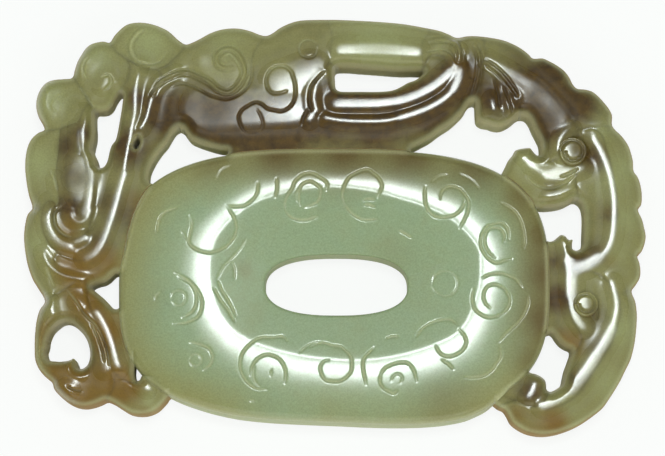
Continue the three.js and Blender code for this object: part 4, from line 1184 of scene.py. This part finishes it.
def jade_group():
    """The colour and polish of the stone, from where its skin was left and how it is clouded, with painted bounce
    light on its walls and a painted highlight line along its edges.
    """
    group, given, made = node_group(
        "jade_stone",
        [("Celadon", "NodeSocketFloat", 0.0), ("Clouding", "NodeSocketFloat", 0.5),
         ("Polish", "NodeSocketFloat", 0.25)],
        [("Color", "NodeSocketColor"), ("Roughness", "NodeSocketFloat"), ("Height", "NodeSocketFloat")],
    )
    wide_cloud = noise(group, 160, 3, 0.55, 0.6)
    fine_cloud = noise(group, 900, 4, 0.6, 0.3)
    speckle = noise(group, 5200, 2, 0.7)
    cloud = computed(group, "ADD", computed(group, "MULTIPLY", wide_cloud, 0.7),
                     computed(group, "MULTIPLY", fine_cloud, 0.3))

    shaken = computed(group, "SUBTRACT", cloud, 0.5)
    shaken = computed(group, "MULTIPLY", shaken, given.outputs["Clouding"])
    brown_here = computed(group, "ADD", attribute(group, "brown"), shaken, True)
    amber_here = computed(group, "ADD", attribute(group, "amber"), shaken, True)
    pale_here = computed(group, "ADD", attribute(group, "pale"), shaken, True)
    rim_here = computed(group, "ADD", attribute(group, "rim"), shaken, True)

    celadon = mixed(group, remapped(group, cloud, 0.35, 0.7, 0, 1), CELADON, CELADON_CLOUD)
    ring_colour = mixed(group, computed(group, "MULTIPLY", rim_here, 0.7), celadon, DISC_RIM)
    ring_colour = mixed(group, computed(group, "MULTIPLY", brown_here, 0.85), ring_colour, BROWN)
    ring_colour = mixed(group, computed(group, "MULTIPLY", attribute(group, "amber"), 0.3), ring_colour,
            AMBER)
    body = mixed(group, pale_here, OLIVE, PALE_OLIVE)
    skin = mixed(group, remapped(group, fine_cloud, 0.35, 0.7, 0, 1), BROWN, DEEP_BROWN)
    body = mixed(group, remapped(group, brown_here, 0.25, 0.8, 0, 1), body, skin)
    body = mixed(group, remapped(group, amber_here, 0.3, 0.9, 0, 1), body, AMBER)
    colour = mixed(group, given.outputs["Celadon"], body, ring_colour)
    cut_colour = mixed(group, remapped(group, brown_here, 0.25, 0.7, 0, 1), CUT_PALE, DEEP_BROWN)
    cut_colour = mixed(group, given.outputs["Celadon"], cut_colour, CUT_PALE)
    colour = mixed(group, computed(group, "MULTIPLY", attribute(group, "cut"), 0.45), colour, cut_colour)
    colour = mixed(group, computed(group, "MULTIPLY", attribute(group, "seam"), 0.2), colour, DEEP_BROWN)
    # The lip attribute lightens a line along the free edges: a painted highlight
    colour = mixed(group, computed(group, "MULTIPLY", attribute(group, "lip"), 0.5), colour, CUT_PALE)

    surface = group.nodes.new("ShaderNodeNewGeometry")
    parts = group.nodes.new("ShaderNodeSeparateXYZ")
    group.links.new(surface.outputs["Normal"], parts.inputs[0])
    steepness = computed(group, "ABSOLUTE", parts.outputs["Z"])
    # Walls and steeply rounded edges take a lighter colour by how steeply they face: painted bounce light
    painted_wall_light_colour = mixed(group, pale_here, LIT_WALL_BROWN, LIT_WALL_TAN)
    painted_wall_light_colour = mixed(group, given.outputs["Celadon"], painted_wall_light_colour, LIT_WALL_GREEN)
    # Walls near the windows are painted paler still: painted bounce light
    painted_window_light_colour = mixed(group, given.outputs["Celadon"], WINDOW_LIGHT_TAN, WINDOW_LIGHT_GREEN)
    at_window_light = computed(group, "MULTIPLY", attribute(group, "window_light"), 0.8)
    painted_wall_light_colour = mixed(group, at_window_light, painted_wall_light_colour, painted_window_light_colour)
    at_amber = computed(group, "MULTIPLY", attribute(group, "amber"), 0.3)
    painted_wall_light_colour = mixed(group, at_amber, painted_wall_light_colour, AMBER)
    colour = mixed(group, remapped(group, steepness, 0.1, 0.5, 0.9, 0.0), colour, painted_wall_light_colour)
    dull = computed(group, "MULTIPLY", attribute(group, "cut"), 0.25)
    rough = computed(group, "ADD", given.outputs["Polish"],
            remapped(group, fine_cloud, 0.3, 0.7, -0.015, 0.02))
    rough = computed(group, "ADD", rough, dull)
    rough = computed(group, "ADD", rough, computed(group, "MULTIPLY", attribute(group, "matte"), 0.3))
    rough = computed(group, "ADD", rough, remapped(group, steepness, 0.05, 0.45, 0.5, 0.0), True)
    grain_here = mixed(group, remapped(group, speckle, 0.3, 0.7, 0, 1), GRAIN_DARK, GRAIN_LIGHT)
    colour = multiplied(group, colour, grain_here)
    group.links.new(colour, made.inputs["Color"])
    group.links.new(rough, made.inputs["Roughness"])
    grain = computed(group, "MULTIPLY", speckle, computed(group, "ADD", attribute(group, "matte"), 0.3, True))
    group.links.new(computed(group, "ADD", fine_cloud, grain), made.inputs["Height"])
    return group


stone_group = jade_group()


def stone_material(name, celadon, clouding, polish, glow):
    material = bpy.data.materials.new(name)
    material.use_nodes = True
    tree = material.node_tree
    shader = tree.nodes["Principled BSDF"]
    stone = tree.nodes.new("ShaderNodeGroup")
    stone.node_tree = stone_group
    stone.inputs["Celadon"].default_value = celadon
    stone.inputs["Clouding"].default_value = clouding
    stone.inputs["Polish"].default_value = polish
    bump = tree.nodes.new("ShaderNodeBump")
    bump.inputs["Strength"].default_value = 0.12
    bump.inputs["Distance"].default_value = 0.03 * MILLIMETRE
    tree.links.new(stone.outputs["Color"], shader.inputs["Base Color"])
    tree.links.new(stone.outputs["Roughness"], shader.inputs["Roughness"])
    tree.links.new(stone.outputs["Height"], bump.inputs["Height"])
    tree.links.new(bump.outputs["Normal"], shader.inputs["Normal"])
    shader.inputs["IOR"].default_value = 1.58
    shader.inputs["Subsurface Weight"].default_value = glow
    shader.inputs["Subsurface Radius"].default_value = (1.0, 0.9, 0.5)
    shader.inputs["Subsurface Scale"].default_value = 1.5 * MILLIMETRE
    return material


MATERIALS = {
    "celadon_stone": stone_material("celadon_stone", 1.0, 0.5, 0.215, 0.3),
    "pale_stone": stone_material("pale_stone", 0.0, 0.5, 0.22, 0.45),
    "olive_stone": stone_material("olive_stone", 0.0, 0.5, 0.22, 0.45),
    "russet_stone": stone_material("russet_stone", 0.0, 0.6, 0.21, 0.35),
}


# The pieces

def dress(piece, node, finish):
    piece.data.materials.append(MATERIALS[finish])
    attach(piece, "root")
    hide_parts(node)


BARE_BROWN = {"russet_stone": 0.3, "olive_stone": 0.08, "pale_stone": 0.0}



# A pale line painted just inside a free edge: a painted highlight where the rounded edge would catch the light
def painted_edge_highlight(depth):
    return EDGE_HIGHLIGHT_STRENGTH * np.exp(-((depth - EDGE_HIGHLIGHT_WIDTH) / EDGE_HIGHLIGHT_WIDTH) ** 2)


nothing = np.zeros(grid_x.shape)
everywhere = np.full(grid_x.shape, REACH)
disc_free = np.minimum(ring_depth, hole_depth)
# A pale line painted along the disc's border where the creature leans on it: a painted edge highlight
painted_border_highlight = np.exp(-(ring_depth / BORDER_HIGHLIGHT_WIDTH) ** 2) * (free_depth > 0.5)
# Painted bounce light on the walls near the windows
painted_window_light = 1 - eased(window_depth / WINDOW_LIGHT_BAND)
disc_fields = {
    "brown": spots(DISC_BROWN_SPOTS),
    "amber": spots(DISC_AMBER_SPOTS),
    "pale": nothing,
    # cut holds the incised scrolls and also the painted border highlight
    "cut": np.maximum(scroll_cut, painted_border_highlight),
    "seam": nothing,
    "rim": (1 - eased(ring_depth / DISC_RIM_WIDTH)) * (1 - spots(DISC_GREEN_SPOTS)),
    "matte": nothing,
    # lip: the painted highlight line along the disc's edge
    "lip": painted_edge_highlight(ring_depth),
    "window_light": painted_window_light,
}
disc_calm = np.minimum(np.minimum(scroll_distance, np.abs(hollow_depth)), disc_free)
disc = stone_piece("carved_bi_ring", disc_free, disc_height(), back_height(disc_free, everywhere),
        disc_fields,
                   disc_calm)
dress(disc, "bi_ring", "celadon_stone")


def creature_fields(finish, trough):
    return {
        "brown": 1 - (1 - brown) * (1 - BARE_BROWN[finish]),
        "amber": amber,
        "pale": pale,
        "cut": line_cut,
        "seam": trough * (free_depth > TROUGH_WIDTH),
        "rim": nothing,
        "matte": matte,
        # lip: the painted highlight line along the form's free edges
        "lip": painted_edge_highlight(free_depth),
        "window_light": painted_window_light,
    }


for name, centre, radius, depth, finish in (
    ("limb_spiral", limb_spiral_centre, LIMB_SPIRAL_RADIUS, limb_spiral_depth, "russet_stone"),
    ("tail_spiral", tail_spiral_centre, TAIL_SPIRAL_RADIUS, tail_spiral_depth, "olive_stone"),
):
    knob = stone_piece("carved_" + name, depth, spiral_height(centre, radius, depth),
                       back_height(everywhere, depth), creature_fields(finish, nothing), nothing)
    dress(knob, name, finish)

creature_face = creature_height()
for form, trough, owned in zip(FORMS, trough_marks, owned_depths):
    piece = stone_piece("carved_" + form[0], np.minimum(owned, free_depth), creature_face,
                        back_height(free_depth, owned), creature_fields(form[5], trough),
                        np.minimum(line_distance, cord_distance))
    dress(piece, form[0], form[5])


# Floor, light and camera

CAMERA_TILT = 6
CAMERA_DISTANCE = 420
FOCUS_HEIGHT = 3.5
MIDDLE_PIXEL = (333, 226)
FLOOR_SIZE = 2000
FLOOR_COLOUR = (0.93, 0.95, 0.95, 1)
FLOOR_GLOW = (0.985, 1.0, 0.99, 1)
FLOOR_GLOW_SHARE = 0.88


LAMP_COLOUR = (0.92, 1.0, 0.99)
FILL_COLOUR = (1.0, 0.99, 0.9)
WORLD_COLOUR = (1.0, 0.99, 0.9, 1)


def add_floor():
    mesh = bpy.data.meshes.new("floor")
    half = FLOOR_SIZE * MILLIMETRE / 2
    mesh.from_pydata([(-half, -half, 0), (half, -half, 0), (half, half, 0), (-half, half, 0)], [],
            [(0, 1, 2, 3)])
    floor = bpy.data.objects.new("floor", mesh)
    bpy.context.scene.collection.objects.link(floor)
    material = bpy.data.materials.new("floor")
    material.use_nodes = True
    tree = material.node_tree
    shader = tree.nodes["Principled BSDF"]
    shader.inputs["Base Color"].default_value = FLOOR_COLOUR
    shader.inputs["Roughness"].default_value = 0.9
    glow = tree.nodes.new("ShaderNodeEmission")
    glow.inputs["Color"].default_value = FLOOR_GLOW
    seen = tree.nodes.new("ShaderNodeLightPath")
    directly = tree.nodes.new("ShaderNodeMath")
    directly.operation = "MAXIMUM"
    tree.links.new(seen.outputs["Is Camera Ray"], directly.inputs[0])
    tree.links.new(seen.outputs["Is Glossy Ray"], directly.inputs[1])
    either = tree.nodes.new("ShaderNodeMath")
    either.operation = "MAXIMUM"
    tree.links.new(directly.outputs[0], either.inputs[0])
    tree.links.new(seen.outputs["Is Transmission Ray"], either.inputs[1])
    share = tree.nodes.new("ShaderNodeMath")
    share.operation = "MULTIPLY"
    share.inputs[1].default_value = FLOOR_GLOW_SHARE
    tree.links.new(either.outputs[0], share.inputs[0])
    both = tree.nodes.new("ShaderNodeMixShader")
    tree.links.new(share.outputs[0], both.inputs[0])
    tree.links.new(shader.outputs[0], both.inputs[1])
    tree.links.new(glow.outputs[0], both.inputs[2])
    tree.links.new(both.outputs[0], tree.nodes["Material Output"].inputs["Surface"])
    mesh.materials.append(material)
    floor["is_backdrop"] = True


def add_light(name, azimuth, elevation, distance, size, power, colour):
    lamp = bpy.data.lights.new(name, "AREA")
    lamp.shape = "DISK"
    lamp.size = size * MILLIMETRE
    lamp.energy = power
    lamp.color = colour
    light = bpy.data.objects.new(name, lamp)
    bpy.context.scene.collection.objects.link(light)
    turn, rise = math.radians(azimuth), math.radians(elevation)
    towards = Vector((math.cos(turn) * math.cos(rise), math.sin(turn) * math.cos(rise), math.sin(rise)))
    light.location = towards * distance * MILLIMETRE
    light.rotation_mode = "QUATERNION"
    light.rotation_quaternion = towards.to_track_quat("Z", "Y")


def add_camera():
    data = bpy.data.cameras.new("camera")
    camera = bpy.data.objects.new("camera", data)
    bpy.context.scene.collection.objects.link(camera)
    middle = placed([MIDDLE_PIXEL])[0]
    target = Vector((middle[0], middle[1], FOCUS_HEIGHT))
    tilt = math.radians(CAMERA_TILT)
    back = Vector((0, -math.sin(tilt), math.cos(tilt)))
    camera.location = (target + back * CAMERA_DISTANCE) * MILLIMETRE
    camera.rotation_mode = "QUATERNION"
    camera.rotation_quaternion = back.to_track_quat("Z", "Y")
    data.lens = data.sensor_width * CAMERA_DISTANCE / (IMAGE_SIZE[0] * pixel_width)
    data.clip_start, data.clip_end = 0.01, 10
    bpy.context.scene.camera = camera


def add_world():
    world = bpy.data.worlds.new("world")
    bpy.context.scene.world = world
    world.use_nodes = True
    tree = world.node_tree
    background = tree.nodes["Background"]
    background.inputs["Color"].default_value = WORLD_COLOUR
    background.inputs["Strength"].default_value = 0.27


add_floor()
add_world()
add_light("key_light", 69, 83.6, 500, 105, 1.04, LAMP_COLOUR)
add_light("left_fill", 155, 40, 600, 900, 0.45, FILL_COLOUR)
add_light("right_fill", 335, 40, 600, 900, 0.4, FILL_COLOUR)
add_light("front_fill", 270, 35, 800, 850, 1.85, FILL_COLOUR)
add_camera()

scene = bpy.context.scene
scene.view_settings.view_transform = "Standard"
